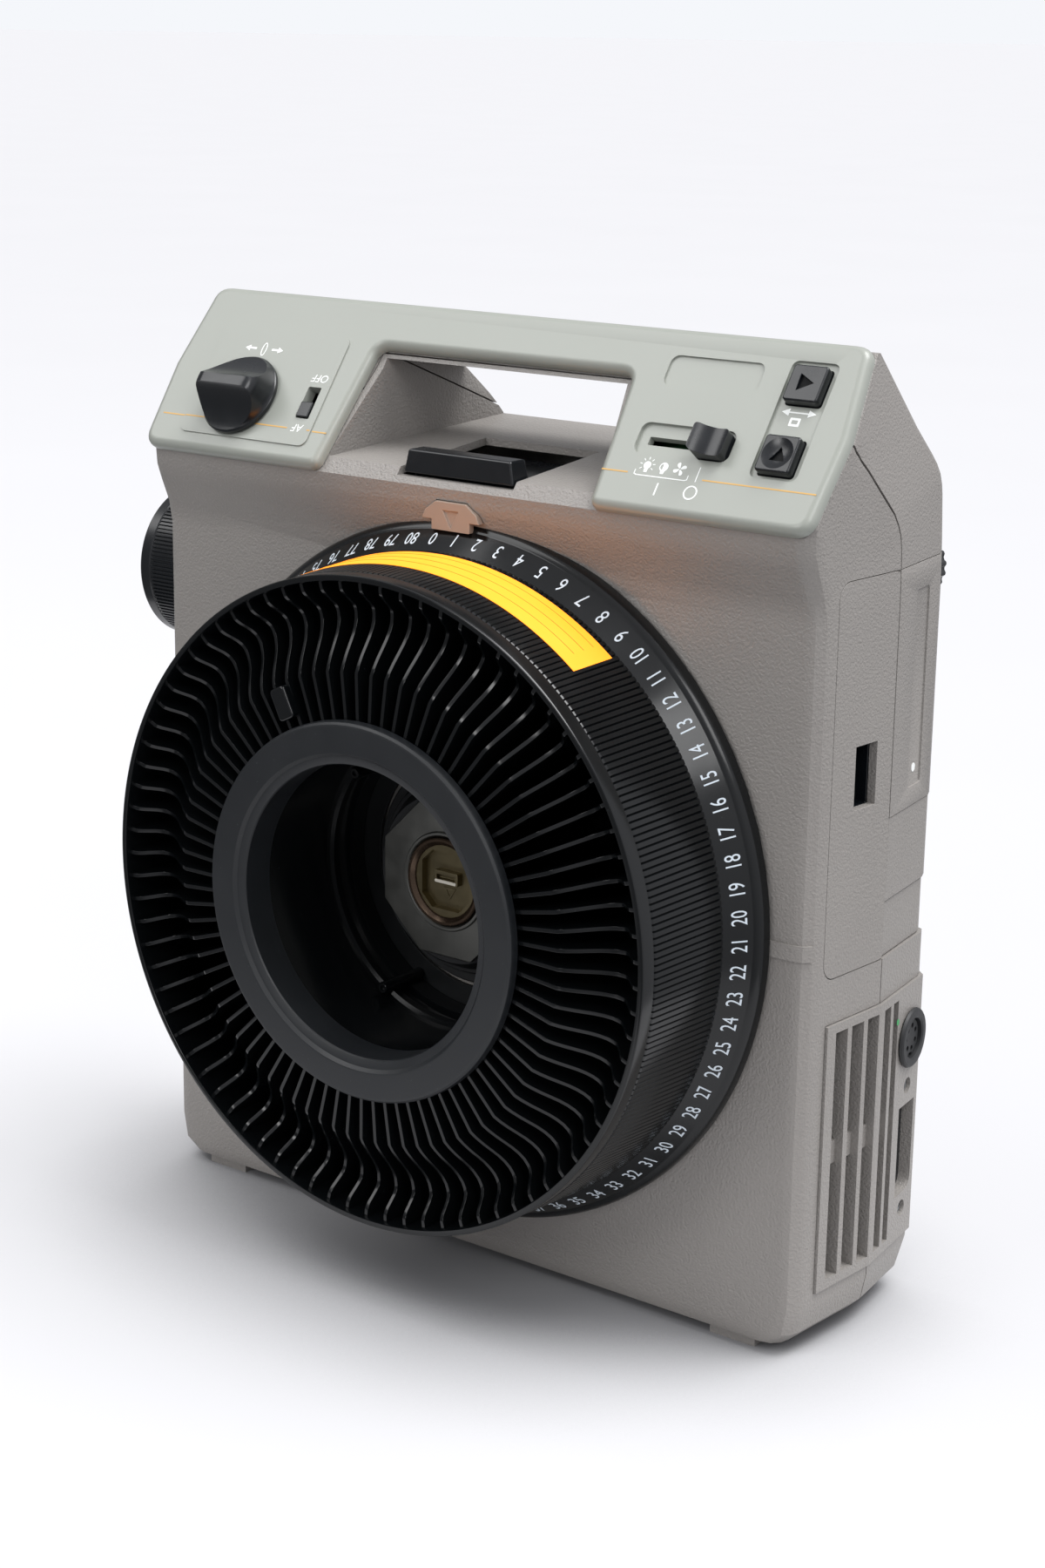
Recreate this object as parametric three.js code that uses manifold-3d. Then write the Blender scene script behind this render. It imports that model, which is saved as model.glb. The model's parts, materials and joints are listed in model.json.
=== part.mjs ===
// Slide projector with a round slide tray, standing on its narrow side with the handle up.
// Millimetres, +Z up. X = 0 is the tray's axis, Y = 0 the deck that the tray lies on,
// Z = 0 the surface that the projector stands on. The lens looks to -X.
import * as THREE from 'three';
import { mergeVertices } from 'three/addons/utils/BufferGeometryUtils.js';
import Module from 'manifold-3d';

const wasm = await Module();
wasm.setup();

// Driving dimensions of the whole projector
const trayAxisZ = 143;
const bodyCentreX = -3;
const bodyHalfWidth = 143.3;
const bodyHalfWidthAtPanel = 141.4;
const bodyBottomZ = 2;
const baseY = 80;
const seamY = 41.6;
const wall = 3;
const clearance = 0.3;
const seamGap = 0.6;
const overrun = 20;
const mergeDistance = 0.0001;

// Lean of the side faces away from the seam, as a share of the distance from it
const frontLeanShare = 0.08;
const backLeanShare = 0.128;
const sideMarginShare = 0.2;

// Outline of the body seen from the side
const flare = { startZ: 249, endZ: 277.2, depth: 8.6 };
const panelFoot = { y: -6.8, z: 279.6 };
const panelLean = THREE.MathUtils.degToRad(36.3);
const apex = { y: 31.5, z: 331.5, blunt: 1.6 };
const backBend = { z: 287.2, ease: 7 };
const seamKink = { y: 40, z: 276.7, ease: 9 };
const seamTop = { y: 11.1, rise: 27.2 };
const liningSeam = { frontY: 34.5, frontZ: 309.4, backY: 70.7, backZ: 294.3 };
const bottomRound = { side: 13, front: 5, back: 16 };
const cornerRadius = { front: 7, panel: 1.2, back: 5 };

// The tray and what it sits on
const tray = {
  flangeRadius: 121, flangeFrontY: -3.6, flangeThick: 3, rimRadius: 112.25, rimFrontY: -56.4,
  wall: 2.25, skirtTopRadius: 113, skirtTopY: -17.4, backY: 2.9, innerRadius: 53, innerWall: 3.5,
  slots: 81, finThick: 1.3, innerFrontY: -56, finBackY: 1.4, finFrontY: -57.2, finPhase: -1.6,
  finBendRadius: 80.5, finDipRadius: 97, finDipY: -49, finEndRadius: 104, finGapY: -42,
};
const trayLug = { radius: 73.6, length: 11.5, width: 6.8, frontY: -60.4, depth: 14, turn: 116.1 };
const lockRing = {
  outerRadius: 64.8, holeRadius: 50.2, bevelRadius: 54.7, faceY: -61.4, bevelDrop: 1.6,
  edgeDrop: 1.8, skirtRadius: 52.6, skirtDepth: 10,
};
const trayPlate = { outerRadius: 108.5, holeRadius: 43, thick: 1.5 };
const pointer = {
  x: -2.7, halfWidth: 12.1, bottomZ: 263.3, height: 9.7, frontY: -8.8, backY: -6.1, tabShare: 0.67,
  outlineShares: [[-0.67, 0], [0.67, 0], [0.67, 0.35], [1, 0.35], [0.9, 0.65], [0.53, 1],
    [-0.53, 1], [-0.9, 0.65], [-1, 0.35], [-0.67, 0.35]],
  markHalf: 3.2, markTopZ: 270, markHeight: 5.7, markDepth: 0.9,
};
const recess = { gap: 1.6, floorY: 5, rimWall: 3, sides: 60 };
const recessRadius = Math.max(tray.flangeRadius, trayPlate.outerRadius) + recess.gap;
const deckRidge = { bottomZ: 139.5, topZ: 144.8, proud: 0.6, sideInset: 1.2 };
const hub = {
  radius: 40, stepY: 0.5, frontY: -11, plateRadius: 27, plateThick: 2.4, dishRadius: 15, dishDepth: 4,
  screwSink: 0.9, slotShare: 0.7, slotWidth: 2.2,
};
const gateX = 0.7;
const slideSlot = { nearRadius: 57, farRadius: 108.3, halfWidth: 3 };

// The handle opening
const opening = {
  frontY: -5, backY: 75,
  floorFrontZ: 282, floorBackZ: 290, ceilingFrontZ: 317.6, ceilingBackZ: 306.3,
  leftFloorFrontX: -60, leftFloorBackX: -46, leftTopFrontX: -56, leftTopBackX: -46,
  rightFloorFrontX: 54.2, rightFloorBackX: 40.5, rightTopFrontX: 52, rightTopBackX: 40.5,
  lining: 2.6,
};
const selectSlot = { leftX: -27.4, rightX: 21.8, backY: 42, lipZ: 279.3 };
const selectBar = {
  leftX: -25, rightX: 19.6, frontY: -4.6, depth: 8.6, topZ: 288.3, carrierZ: 279.6, carrierThick: 2.4,
  carrierShare: 0.6,
};

// The control panel, in its own frame: X along it, Y up its slope, Z out of its face
const panel = {
  thick: 4, round: 3.2, bottom: -3, top: 63.5, bendAt: 30.4,
  halfWidthBottom: 140, halfWidthBend: 141.3, halfWidthTop: 138, cornerRadius: 7,
  openLeftBottom: -60, openLeftTop: -56.6, openRightBottom: 54.6, openRightTop: 51.8, openTop: 45.6,
  openCorner: 5, footCorner: 4,
};
const focus = {
  x: -104.6, s: 19.3, baseRadius: 15.3, rimHeight: 2.2, height: 13, shaftRadius: 3, boreDepth: 6,
  gripThick: 3, gripReach: 13, shoulderShare: 0.6, browShare: 0.62, scoopShare: 1, scoopFoot: 2.4,
};
const afSlot = { left: -77, right: -71.2, bottom: 14, top: 26.4 };
const powerRecess = { left: 63.8, right: 99.8, bottom: 17.2, top: 28.4, depth: 1.2, corner: 3 };
const powerSlot = { left: 67.7, right: 97, bottom: 20.8, top: 23.8 };
const powerKnob = {
  left: 87.6, right: 99, bottom: 17.5, top: 27.1, height: 8, corner: 1.5, stemWidth: 6, stemDepth: 3,
  waistShare: 0.55, waistLiftShare: 1.55,
};
const afLever = { proud: 0.8, shutterThick: 1.4, shutterLap: 2.2 };
const labelRecess = { left: 64.5, right: 100.1, bottom: 42, top: 53.2, depth: 0.7, corner: 3 };
const buttonRecess = { left: 109, right: 126.2, bottom: 13.6, top: 55.4, depth: 1, corner: 2.5 };
const buttonSize = {
  left: 111.4, right: 124, proud: 2.5, skirt: 3, lip: 1, corner: 1.2, markHalf: 2.6, markDepth: 0.8,
  dishSphere: 9,
};
const controlBoard = { spacer: 5, thick: 1.6, post: 4, postS: [30, 34.6] };
const forwardButtonS = { bottom: 40.2, top: 53 };
const reverseButtonS = { bottom: 15.2, top: 28 };
const subPlate = { left: -127.2, right: -67.8, bottom: 3.5, top: 46.8, corner: 3, rise: 0.5 };

// The lens and the light path
const lensAxis = { y: 42, z: 226 };
const lens = {
  frontX: -170, backX: -78, radius: 28.6, wall: 2.6, edge: 1.2, cellDepth: 13,
  frontGlassRadius: 22, rearGlassRadius: 20, crown: 4,
  rackRadius: 29.6, rackLength: 40, rackWidth: 6, pinionTeeth: 10, pinionThick: 7, toothDepth: 0.9,
};
const sleeve = { leftX: -133, rightX: -66, radius: 31.7, slotWidth: 18, slotReachShare: 1.6 };
const mechanismPlate = { leftX: -74, rightX: 62, bottomZ: 62, topZ: 258, frontY: 8.3, thick: 1.5 };
const gate = { halfWidth: 9, slotHalf: 2.4, wall: 3, apertureHalf: 18 };
const liftLever = {
  halfWidth: 1.5, thick: 3.6, rodRadius: 3, collarRadius: 6, collarLength: 9, rodDrop: 34,
};
const condenser = {
  leftX: 18, rightX: 56, halfHeight: 28, glassRadius: 24, lensX: 34, lensThick: 13, crown: 7,
  filterX: 22, filterThick: 3.5,
};
const lampModule = {
  bottomZ: 131, topZ: 261.5, frontY: 8.5, splitUpperZ: 179.3, splitLowerZ: 150.5, corner: 6,
  windowFrontY: 21.3, windowBackY: 33, windowLowZ: 186, windowHighZ: 207, pocketX: 126, pocketReach: 12,
  middleSink: 0.3, lowerSink: 0.9,
};
const chassis = { leftX: 70, frontY: 13, inset: 3.5, sheet: 1.5, reach: 3.5 };
const lamp = {
  radius: 25, rim: 2, depth: 24, neck: 8, neckRadius: 8, bulbRadius: 6, pinRadius: 3, glass: 1.8,
  bowlDepthShare: 0.55, bowlRadiusShare: 0.72, bulbShare: 0.8, innerDepthShare: 0.5, innerRadiusShare: 0.62,
};
const lampSocket = { length: 9, half: 10, foot: 4 };
const grille = {
  bottomZ: 21.3, topZ: 115.7, frontY: 11, proud: 1, thick: 3.5, slotLowZ: 25, slotHighZ: 112.3,
  barHalf: 4, barThick: 1.6,
  slotEdges: [[16, 22.6], [25, 31.7], [34, 40.4], [44.8, 50], [52.4, 56.6]],
};
const remote = {
  y: 26.6, z: 95.5, bodyRadius: 8, ringRadius: 10.4, ringThick: 2, pinRadius: 6.6, depth: 9, pins: 7,
  pinShare: 0.62, pinHole: 0.9, screwZ: [32.6, 77.9], screwRadius: 2.6, screwSink: 1.2,
};
const outlet = {
  nearY: 20.5, farY: 33, lowZ: 38.6, highZ: 71, round: 5, depth: 12, sink: 3, rows: 6, columnHalf: 3,
  hole: 1.1, holeSides: 6,
};

// The drive: one motor turns the fan and, through a worm, the slide change
const fan = {
  y: 43.7, z: 68, bladeRadius: 27, hubRadius: 9, frontX: 118, backX: 101, blades: 6, bladeThick: 1.8,
  bladeChord: 15, bladePitch: 0.7, shroudLeftX: 97, shroudRightX: 122, shroudHalf: 32,
};
const motor = {
  leftX: 62, rightX: 92, radius: 25, bossShare: 0.44, shaftRadius: 3, shaftLeftX: 26, wormX: 38,
  wormLength: 16, wormRadius: 5.5,
};
const cycleGear = { radius: 19, toothDepth: 1.6, teeth: 24, thick: 8, postRadius: 3 };
const supply = {
  coreLeftX: -50, coreWidth: 44, coreDepth: 30, coreHeight: 38, coilProud: 5, lowZ: 24,
  boardLeftX: -132, boardRightX: -64, boardTopZ: 112, boardThick: 1.6, standoff: 5, post: 6, partHeight: 8,
};

// What the base carries
const baseFeet = { radius: 8, topRadius: 10, height: 8, places: [[-122, 30], [100, 30], [-122, 252]] };
const leveller = {
  x: 121.5, z: 255, radius: 11.5, knurl: 0.7, knurls: 20, wheelY: 80.8, thick: 4.2, stemRadius: 4,
  padRadius: 7,
};
const elevation = {
  x: -118, z: 150, postRadius: 7, postTopY: 34, padGap: 2, padRadius: 11, buttonRadius: 5, buttonY: 58,
  buttonProud: 1.6, buttonTravel: 3,
};
const gland = { x: 100, z: 123, radius: 6, bore: 3.4, flange: 8.5, inside: 10, outside: 6 };
const standing = { leftInset: 18.3, rightInset: 19.3, width: 18, frontY: 3, backInset: 20, depth: 9 };

const root = new THREE.Group();

function material(colour, roughness, metalness = 0) {
  return new THREE.MeshStandardMaterial({ color: colour, roughness, metalness });
}

const finishes = {
  housing: material(0x8b8580, 0.72),
  panel: material(0xaaada3, 0.55),
  black: material(0x17191b, 0.45),
  trayBlack: material(0x101214, 0.38),
  darkPlastic: material(0x2a2b2d, 0.6),
  pointer: material(0x9a8878, 0.6),
  steel: material(0xb4b6b8, 0.32, 0.9),
  zinc: material(0x9a9c9e, 0.45, 0.8),
  glass: material(0xcfdfe2, 0.06),
  rubber: material(0x1c1c1c, 0.9),
  board: material(0x3c6b3f, 0.6),
  copper: material(0xa4603a, 0.4, 0.8),
  nylon: material(0xe6e2d6, 0.5),
};

// Solids: a closed geometry becomes a solid that can be joined and cut
function toSolid(geometry) {
  const bare = geometry.clone();
  for (const name of Object.keys(bare.attributes)) {
    if (name !== 'position') bare.deleteAttribute(name);
  }
  const merged = mergeVertices(bare, mergeDistance);
  return new wasm.Manifold(new wasm.Mesh({
    numProp: 3,
    vertProperties: new Float32Array(merged.attributes.position.array),
    triVerts: new Uint32Array(merged.index.array),
  }));
}

function toGeometry(solid) {
  const mesh = solid.getMesh();
  const geometry = new THREE.BufferGeometry();
  geometry.setAttribute('position', new THREE.BufferAttribute(new Float32Array(mesh.vertProperties), 3));
  geometry.setIndex(new THREE.BufferAttribute(new Uint32Array(mesh.triVerts), 1));
  geometry.computeVertexNormals();
  return geometry;
}

function joined(first, ...others) {
  return others.reduce((sum, other) => sum.add(other), first);
}

function cut(first, ...others) {
  return others.reduce((rest, other) => rest.subtract(other), first);
}

function addPiece(parent, name, solid, finish) {
  const mesh = new THREE.Mesh(toGeometry(solid), finish);
  mesh.name = name;
  parent.add(mesh);
  return mesh;
}

// Plain shapes, each given by where its faces lie
function block(x0, x1, y0, y1, z0, z1) {
  const geometry = new THREE.BoxGeometry(x1 - x0, y1 - y0, z1 - z0);
  geometry.translate((x0 + x1) / 2, (y0 + y1) / 2, (z0 + z1) / 2);
  return toSolid(geometry);
}

function cylinderY(radius, y0, y1, x = 0, z = 0, sides = 32) {
  const geometry = new THREE.CylinderGeometry(radius, radius, y1 - y0, sides);
  geometry.translate(x, (y0 + y1) / 2, z);
  return toSolid(geometry);
}

function cylinderX(radius, x0, x1, y = 0, z = 0, sides = 32) {
  const geometry = new THREE.CylinderGeometry(radius, radius, x1 - x0, sides);
  geometry.rotateZ(Math.PI / 2);
  geometry.translate((x0 + x1) / 2, y, z);
  return toSolid(geometry);
}

function cylinderZ(radius, z0, z1, x = 0, y = 0, sides = 32) {
  const geometry = new THREE.CylinderGeometry(radius, radius, z1 - z0, sides);
  geometry.rotateX(Math.PI / 2);
  geometry.translate(x, y, (z0 + z1) / 2);
  return toSolid(geometry);
}

// A turned shape about the Y axis, from a closed profile of [radius, y] points
function turned(profile, sides, turn = 0, x = 0, y = 0, z = 0) {
  const points = profile.map(([radius, along]) => new THREE.Vector2(radius, along));
  const turns = new THREE.LatheGeometry([...points, points[0]], sides, Math.PI / 2 + turn);
  turns.translate(x, y, z);
  return toSolid(outward(turns));
}

// Turns a closed geometry's faces outwards when its profile ran the other way
function outward(geometry) {
  const position = geometry.attributes.position;
  const index = geometry.index;
  const a = new THREE.Vector3();
  const b = new THREE.Vector3();
  const c = new THREE.Vector3();
  let volume = 0;
  for (let i = 0; i < index.count; i += 3) {
    a.fromBufferAttribute(position, index.getX(i));
    b.fromBufferAttribute(position, index.getX(i + 1));
    c.fromBufferAttribute(position, index.getX(i + 2));
    volume += a.dot(b.cross(c));
  }
  if (volume < 0) {
    for (let i = 0; i < index.count; i += 3) {
      const keep = index.getX(i + 1);
      index.setX(i + 1, index.getX(i + 2));
      index.setX(i + 2, keep);
    }
  }
  return geometry;
}

function outline(points) {
  return new THREE.Shape(points.map(([x, y]) => new THREE.Vector2(x, y)));
}

function extruded(shape, depth, curveSegments = 4) {
  return new THREE.ExtrudeGeometry(shape, { depth, bevelEnabled: false, curveSegments });
}

// An outline in Y and Z, pushed along X from x0 to x1
function alongX(shape, x0, x1) {
  const geometry = extruded(shape, x1 - x0);
  const turn = new THREE.Matrix4().makeBasis(
    new THREE.Vector3(0, 1, 0), new THREE.Vector3(0, 0, 1), new THREE.Vector3(1, 0, 0));
  geometry.applyMatrix4(turn);
  geometry.translate(x0, 0, 0);
  return toSolid(geometry);
}

// An outline in X and Z, pushed along Y from y0 to y1
function alongY(shape, y0, y1) {
  const geometry = extruded(shape, y1 - y0);
  geometry.rotateX(Math.PI / 2);
  geometry.translate(0, y1, 0);
  return toSolid(geometry);
}

// An outline in X and Y, pushed along Z from z0 to z1
function alongZ(shape, z0, z1, curveSegments = 4) {
  const geometry = extruded(shape, z1 - z0, curveSegments);
  geometry.translate(0, 0, z0);
  return toSolid(geometry);
}

function roundedRectangle(left, right, bottom, top, radius) {
  const shape = new THREE.Shape();
  shape.moveTo(left + radius, bottom);
  shape.lineTo(right - radius, bottom);
  shape.absarc(right - radius, bottom + radius, radius, -Math.PI / 2, 0, false);
  shape.lineTo(right, top - radius);
  shape.absarc(right - radius, top - radius, radius, 0, Math.PI / 2, false);
  shape.lineTo(left + radius, top);
  shape.absarc(left + radius, top - radius, radius, Math.PI / 2, Math.PI, false);
  shape.lineTo(left, bottom + radius);
  shape.absarc(left + radius, bottom + radius, radius, Math.PI, Math.PI * 1.5, false);
  return shape;
}

// The body's outline as functions of the height
const panelSlope = Math.tan(panelLean);
const backSlope = (baseY - apex.y) / (backBend.z - apex.z);
const seamTopZ = seamKink.z + seamTop.rise;
const seamRun = { y: seamTop.y - seamKink.y, z: seamTop.rise };
const seamLength = Math.hypot(seamRun.y, seamRun.z);
const seamNormal = { y: seamRun.z / seamLength, z: -seamRun.y / seamLength };

function frontYAt(z) {
  if (z <= flare.startZ) return 0;
  if (z < flare.endZ) {
    const share = (z - flare.startZ) / (flare.endZ - flare.startZ);
    return -flare.depth * share * share * (3 - 2 * share);
  }
  return panelFoot.y + (z - panelFoot.z) * panelSlope + clearance / Math.cos(panelLean);
}

function backYAt(z) {
  const beyond = z - backBend.z;
  if (beyond <= -backBend.ease) return baseY;
  if (beyond >= backBend.ease) return baseY + beyond * backSlope;
  return baseY + ((beyond + backBend.ease) ** 2) * backSlope / (4 * backBend.ease);
}

// Signed distance behind the seam line, where the body is widest
function behindSeam(y, z) {
  const fromSlant = (y - seamKink.y) * seamNormal.y + (z - seamKink.z) * seamNormal.z;
  return Math.max(fromSlant, y - seamY);
}

function halfWidthAt(y, z) {
  const upShare = THREE.MathUtils.smoothstep(z, flare.startZ, seamTopZ);
  const widest = THREE.MathUtils.lerp(bodyHalfWidth, bodyHalfWidthAtPanel, upShare);
  const behind = behindSeam(y, z);
  return widest - backLeanShare * Math.max(behind, 0) + frontLeanShare * Math.min(behind, 0);
}

function roundedInset(radius, height) {
  if (height >= radius) return 0;
  return radius - Math.sqrt(radius * radius - (radius - height) ** 2);
}

// The body's closed outline at one height, a little inside the skin for its hollow
function bodyOutline(z, skin) {
  const height = Math.max(z - bodyBottomZ - skin, 0);
  const insetSide = skin + roundedInset(bottomRound.side, height);
  const slope = z > flare.endZ ? 1 / Math.cos(panelLean) : 1;
  const front = frontYAt(z) + skin * slope + roundedInset(bottomRound.front, height);
  const bendShare = THREE.MathUtils.clamp((z - backBend.z) / backBend.ease, -1, 1) / 2 + 1 / 2;
  const backSkin = skin * THREE.MathUtils.lerp(1, Math.hypot(1, backSlope), bendShare);
  const back = backYAt(z) - backSkin - roundedInset(bottomRound.back, height);
  const room = back - front;
  const frontRadius = Math.min(z > flare.endZ ? cornerRadius.panel : cornerRadius.front, room / 3);
  const backRadius = Math.min(cornerRadius.back, room / 3);
  const seam = seamY - (z > seamKink.z ? (z - seamKink.z) * (seamY - seamTop.y) / seamRun.z : 0);
  const firstY = front + frontRadius;
  const lastY = back - backRadius;
  const margin = (lastY - firstY) * sideMarginShare;
  const widestY = THREE.MathUtils.clamp(seam, firstY + margin, lastY - margin);
  const right = [];
  const arcSteps = 3;
  for (let i = 0; i <= arcSteps; i += 1) {
    const turn = (i / arcSteps) * Math.PI / 2;
    const y = firstY - frontRadius * Math.cos(turn);
    right.push([halfWidthAt(firstY, z) - insetSide - frontRadius * (1 - Math.sin(turn)), y]);
  }
  for (const share of [0.5, 1]) {
    const y = THREE.MathUtils.lerp(firstY, widestY, share);
    right.push([halfWidthAt(y, z) - insetSide, y]);
  }
  const middleY = (widestY + lastY) / 2;
  right.push([halfWidthAt(middleY, z) - insetSide, middleY]);
  for (let i = 0; i < arcSteps; i += 1) {
    const turn = (i / (arcSteps - 1)) * Math.PI / 2;
    const y = lastY + backRadius * Math.sin(turn);
    right.push([halfWidthAt(lastY, z) - insetSide - backRadius * (1 - Math.cos(turn)), y]);
  }
  const left = right.map(([x, y]) => [-x, y]).reverse();
  return [...right, ...left].map(([x, y]) => new THREE.Vector3(bodyCentreX + x, y, z));
}

// A closed solid through a stack of outlines with equal point counts
function lofted(rings) {
  const count = rings[0].length;
  const positions = [];
  const index = [];
  for (const ring of rings) {
    for (const point of ring) positions.push(point.x, point.y, point.z);
  }
  for (let level = 0; level + 1 < rings.length; level += 1) {
    for (let i = 0; i < count; i += 1) {
      const a = level * count + i;
      const b = level * count + (i + 1) % count;
      index.push(a, b, b + count, a, b + count, a + count);
    }
  }
  const last = (rings.length - 1) * count;
  for (let i = 1; i + 1 < count; i += 1) {
    index.push(0, i + 1, i);
    index.push(last, last + i, last + i + 1);
  }
  const geometry = new THREE.BufferGeometry();
  geometry.setAttribute('position', new THREE.Float32BufferAttribute(positions, 3));
  geometry.setIndex(index);
  return toSolid(outward(geometry));
}

function bodyHeights(skin) {
  const low = bodyBottomZ + skin;
  const roundShares = [0, 0.1, 0.4, 1];
  const roundHeights = roundShares.map((share) => low + share * bottomRound.back);
  const flareShares = [0, 0.3, 0.6, 0.8, 1];
  const flareHeights = flareShares.map((share) => THREE.MathUtils.lerp(flare.startZ, flare.endZ, share));
  const slantHeights = [-1, -0.5, 0, 0.5, 1].map((share) => backBend.z + share * backBend.ease);
  const topSkin = skin * 3;
  const heights = [...roundHeights, ...flareHeights, ...slantHeights, seamTopZ];
  return [...heights.sort((a, b) => a - b), apex.z - apex.blunt - topSkin];
}

function bodySolid(skin) {
  return lofted(bodyHeights(skin).map((z) => bodyOutline(z, skin)));
}

// The space in front of the seam, as an outline in Y and Z
function frontOfSeam(shift) {
  const beyondShare = 2.4;
  const easeShare = 0.2;
  const far = overrun * 2;
  const easeY = seamKink.ease;
  const shape = new THREE.Shape();
  shape.moveTo(-far, -far);
  shape.lineTo(seamY + shift, -far);
  shape.lineTo(seamY + shift, seamKink.z - easeY);
  shape.quadraticCurveTo(
    seamY + shift, seamKink.z, seamKink.y + seamRun.y * easeShare + shift,
    seamKink.z + seamRun.z * easeShare + shift);
  shape.lineTo(seamKink.y + seamRun.y * beyondShare + shift, seamKink.z + seamRun.z * beyondShare + shift);
  shape.lineTo(-far, seamKink.z + seamRun.z * beyondShare + shift);
  return shape;
}

// The handle opening, narrowing towards the back, grown by a lining's thickness
function openingSolid(grow) {
  const reach = overrun;
  const slopeOf = (front, back) => (back - front) / (opening.backY - opening.frontY);
  const at = (front, back, y) => front + slopeOf(front, back) * (y - opening.frontY);
  const y0 = opening.frontY - reach;
  const y1 = opening.backY + reach;
  const rings = [y0, y1].map((y) => [
    new THREE.Vector3(at(opening.leftFloorFrontX, opening.leftFloorBackX, y) - grow, y,
      at(opening.floorFrontZ, opening.floorBackZ, y) - grow),
    new THREE.Vector3(at(opening.rightFloorFrontX, opening.rightFloorBackX, y) + grow, y,
      at(opening.floorFrontZ, opening.floorBackZ, y) - grow),
    new THREE.Vector3(at(opening.rightTopFrontX, opening.rightTopBackX, y) + grow, y,
      at(opening.ceilingFrontZ, opening.ceilingBackZ, y) + grow),
    new THREE.Vector3(at(opening.leftTopFrontX, opening.leftTopBackX, y) - grow, y,
      at(opening.ceilingFrontZ, opening.ceilingBackZ, y) + grow),
  ]);
  return lofted(rings);
}

// The space under the lining's seam: the deck half lines the handle opening up to there
function underLiningSeam(shift) {
  const slope = (liningSeam.backZ - liningSeam.frontZ) / (liningSeam.backY - liningSeam.frontY);
  const lineAt = (y) => liningSeam.frontZ + slope * (y - liningSeam.frontY) + shift;
  const frontEnd = opening.frontY - overrun;
  const backEnd = baseY + overrun;
  const shape = outline([[frontEnd, 0], [backEnd, 0], [backEnd, lineAt(backEnd)],
    [frontEnd, lineAt(frontEnd)]]);
  return alongX(shape, bodyCentreX - bodyHalfWidth, bodyCentreX + bodyHalfWidth);
}

// Frames that carry the tray and the control panel
const trayGroup = new THREE.Group();
trayGroup.position.z = trayAxisZ;
const panelGroup = new THREE.Group();
panelGroup.position.set(bodyCentreX, panelFoot.y, panelFoot.z);
panelGroup.rotation.x = Math.PI / 2 - panelLean;
panelGroup.updateMatrixWorld();
root.add(trayGroup, panelGroup);

// A panel outline pushed through the housing behind it
function throughPanel(shape, low, high) {
  const geometry = extruded(shape, high - low);
  geometry.translate(-bodyCentreX, 0, low);
  geometry.applyMatrix4(panelGroup.matrixWorld);
  return toSolid(geometry);
}

function inPanelX(x) {
  return x - bodyCentreX;
}

// Housing: one hollow body, split at the seam into the deck half and the base half
const hollow = bodySolid(wall);
const outer = bodySolid(0);
const recessRing = cylinderY(recessRadius + recess.rimWall, frontYAt(flare.endZ), recess.floorY + wall, 0,
  trayAxisZ, recess.sides).intersect(outer);
const liningBlock = openingSolid(opening.lining).intersect(outer);
const ridgeBlock = bodySolid(-deckRidge.proud).intersect(block(0,
  bodyCentreX + bodyHalfWidth - deckRidge.sideInset,
  -wall, wall, deckRidge.bottomZ, deckRidge.topZ));
let housing = joined(cut(outer, hollow), recessRing, liningBlock, ridgeBlock);
housing = cut(housing, openingSolid(0));
housing = cut(housing, cylinderY(recessRadius, frontYAt(flare.endZ) - overrun, recess.floorY, 0, trayAxisZ,
  recess.sides));

const sideReach = bodyHalfWidth + overrun;
const rightInnerX = bodyCentreX + bodyHalfWidth - wall * 5;
const moduleShape = roundedRectangle(lampModule.frontY, seamY + wall * 2, lampModule.bottomZ,
  lampModule.topZ, lampModule.corner);
const moduleFrontSpace = alongX(moduleShape, rightInnerX, bodyCentreX + sideReach)
  .intersect(alongX(frontOfSeam(0), rightInnerX - wall, bodyCentreX + sideReach + wall));
const moduleRearSpace = block(rightInnerX, bodyCentreX + sideReach, seamY, baseY + overrun,
  lampModule.bottomZ, lampModule.topZ);
const grilleSpace = block(rightInnerX, bodyCentreX + sideReach, grille.frontY, baseY + overrun,
  grille.bottomZ, grille.topZ);
const selectCut = block(selectSlot.leftX, selectSlot.rightX, opening.frontY - overrun, selectSlot.backY,
  selectSlot.lipZ, opening.floorBackZ + wall);
const lensHole = cylinderX(lens.radius + 2 * clearance, bodyCentreX - sideReach,
  bodyCentreX - bodyHalfWidth / 2, lensAxis.y, lensAxis.z, 48);
const gateCut = block(gateX - slideSlot.halfWidth, gateX + slideSlot.halfWidth, -overrun,
  mechanismPlate.frontY, trayAxisZ + slideSlot.nearRadius, trayAxisZ + slideSlot.farRadius);
const pointerOutline = (grow) => outline(pointer.outlineShares.map(([across, up]) => [
  pointer.x + across * (pointer.halfWidth + grow),
  pointer.bottomZ - grow + up * (pointer.height + 2 * grow)]));
const pointerPocket = alongY(pointerOutline(clearance), -flare.depth - overrun, pointer.backY + clearance);
const elevationHole = cylinderY(elevation.postRadius + clearance, baseY - wall * 2, baseY + wall,
  elevation.x, elevation.z);
const releaseHole = cylinderX(elevation.buttonRadius + clearance, bodyCentreX - sideReach,
  bodyCentreX - bodyHalfWidth + wall * 3, elevation.buttonY, elevation.z);
const glandHole = cylinderY(gland.radius + clearance, baseY - wall * 2, baseY + wall, gland.x, gland.z);
const levellerHole = cylinderY(leveller.stemRadius + clearance, baseY - wall * 2, baseY + wall, leveller.x,
  leveller.z);
housing = cut(housing, selectCut, lensHole, moduleFrontSpace, moduleRearSpace, grilleSpace, gateCut,
  pointerPocket, elevationHole, releaseHole, glandHole, levellerHole);

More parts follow.
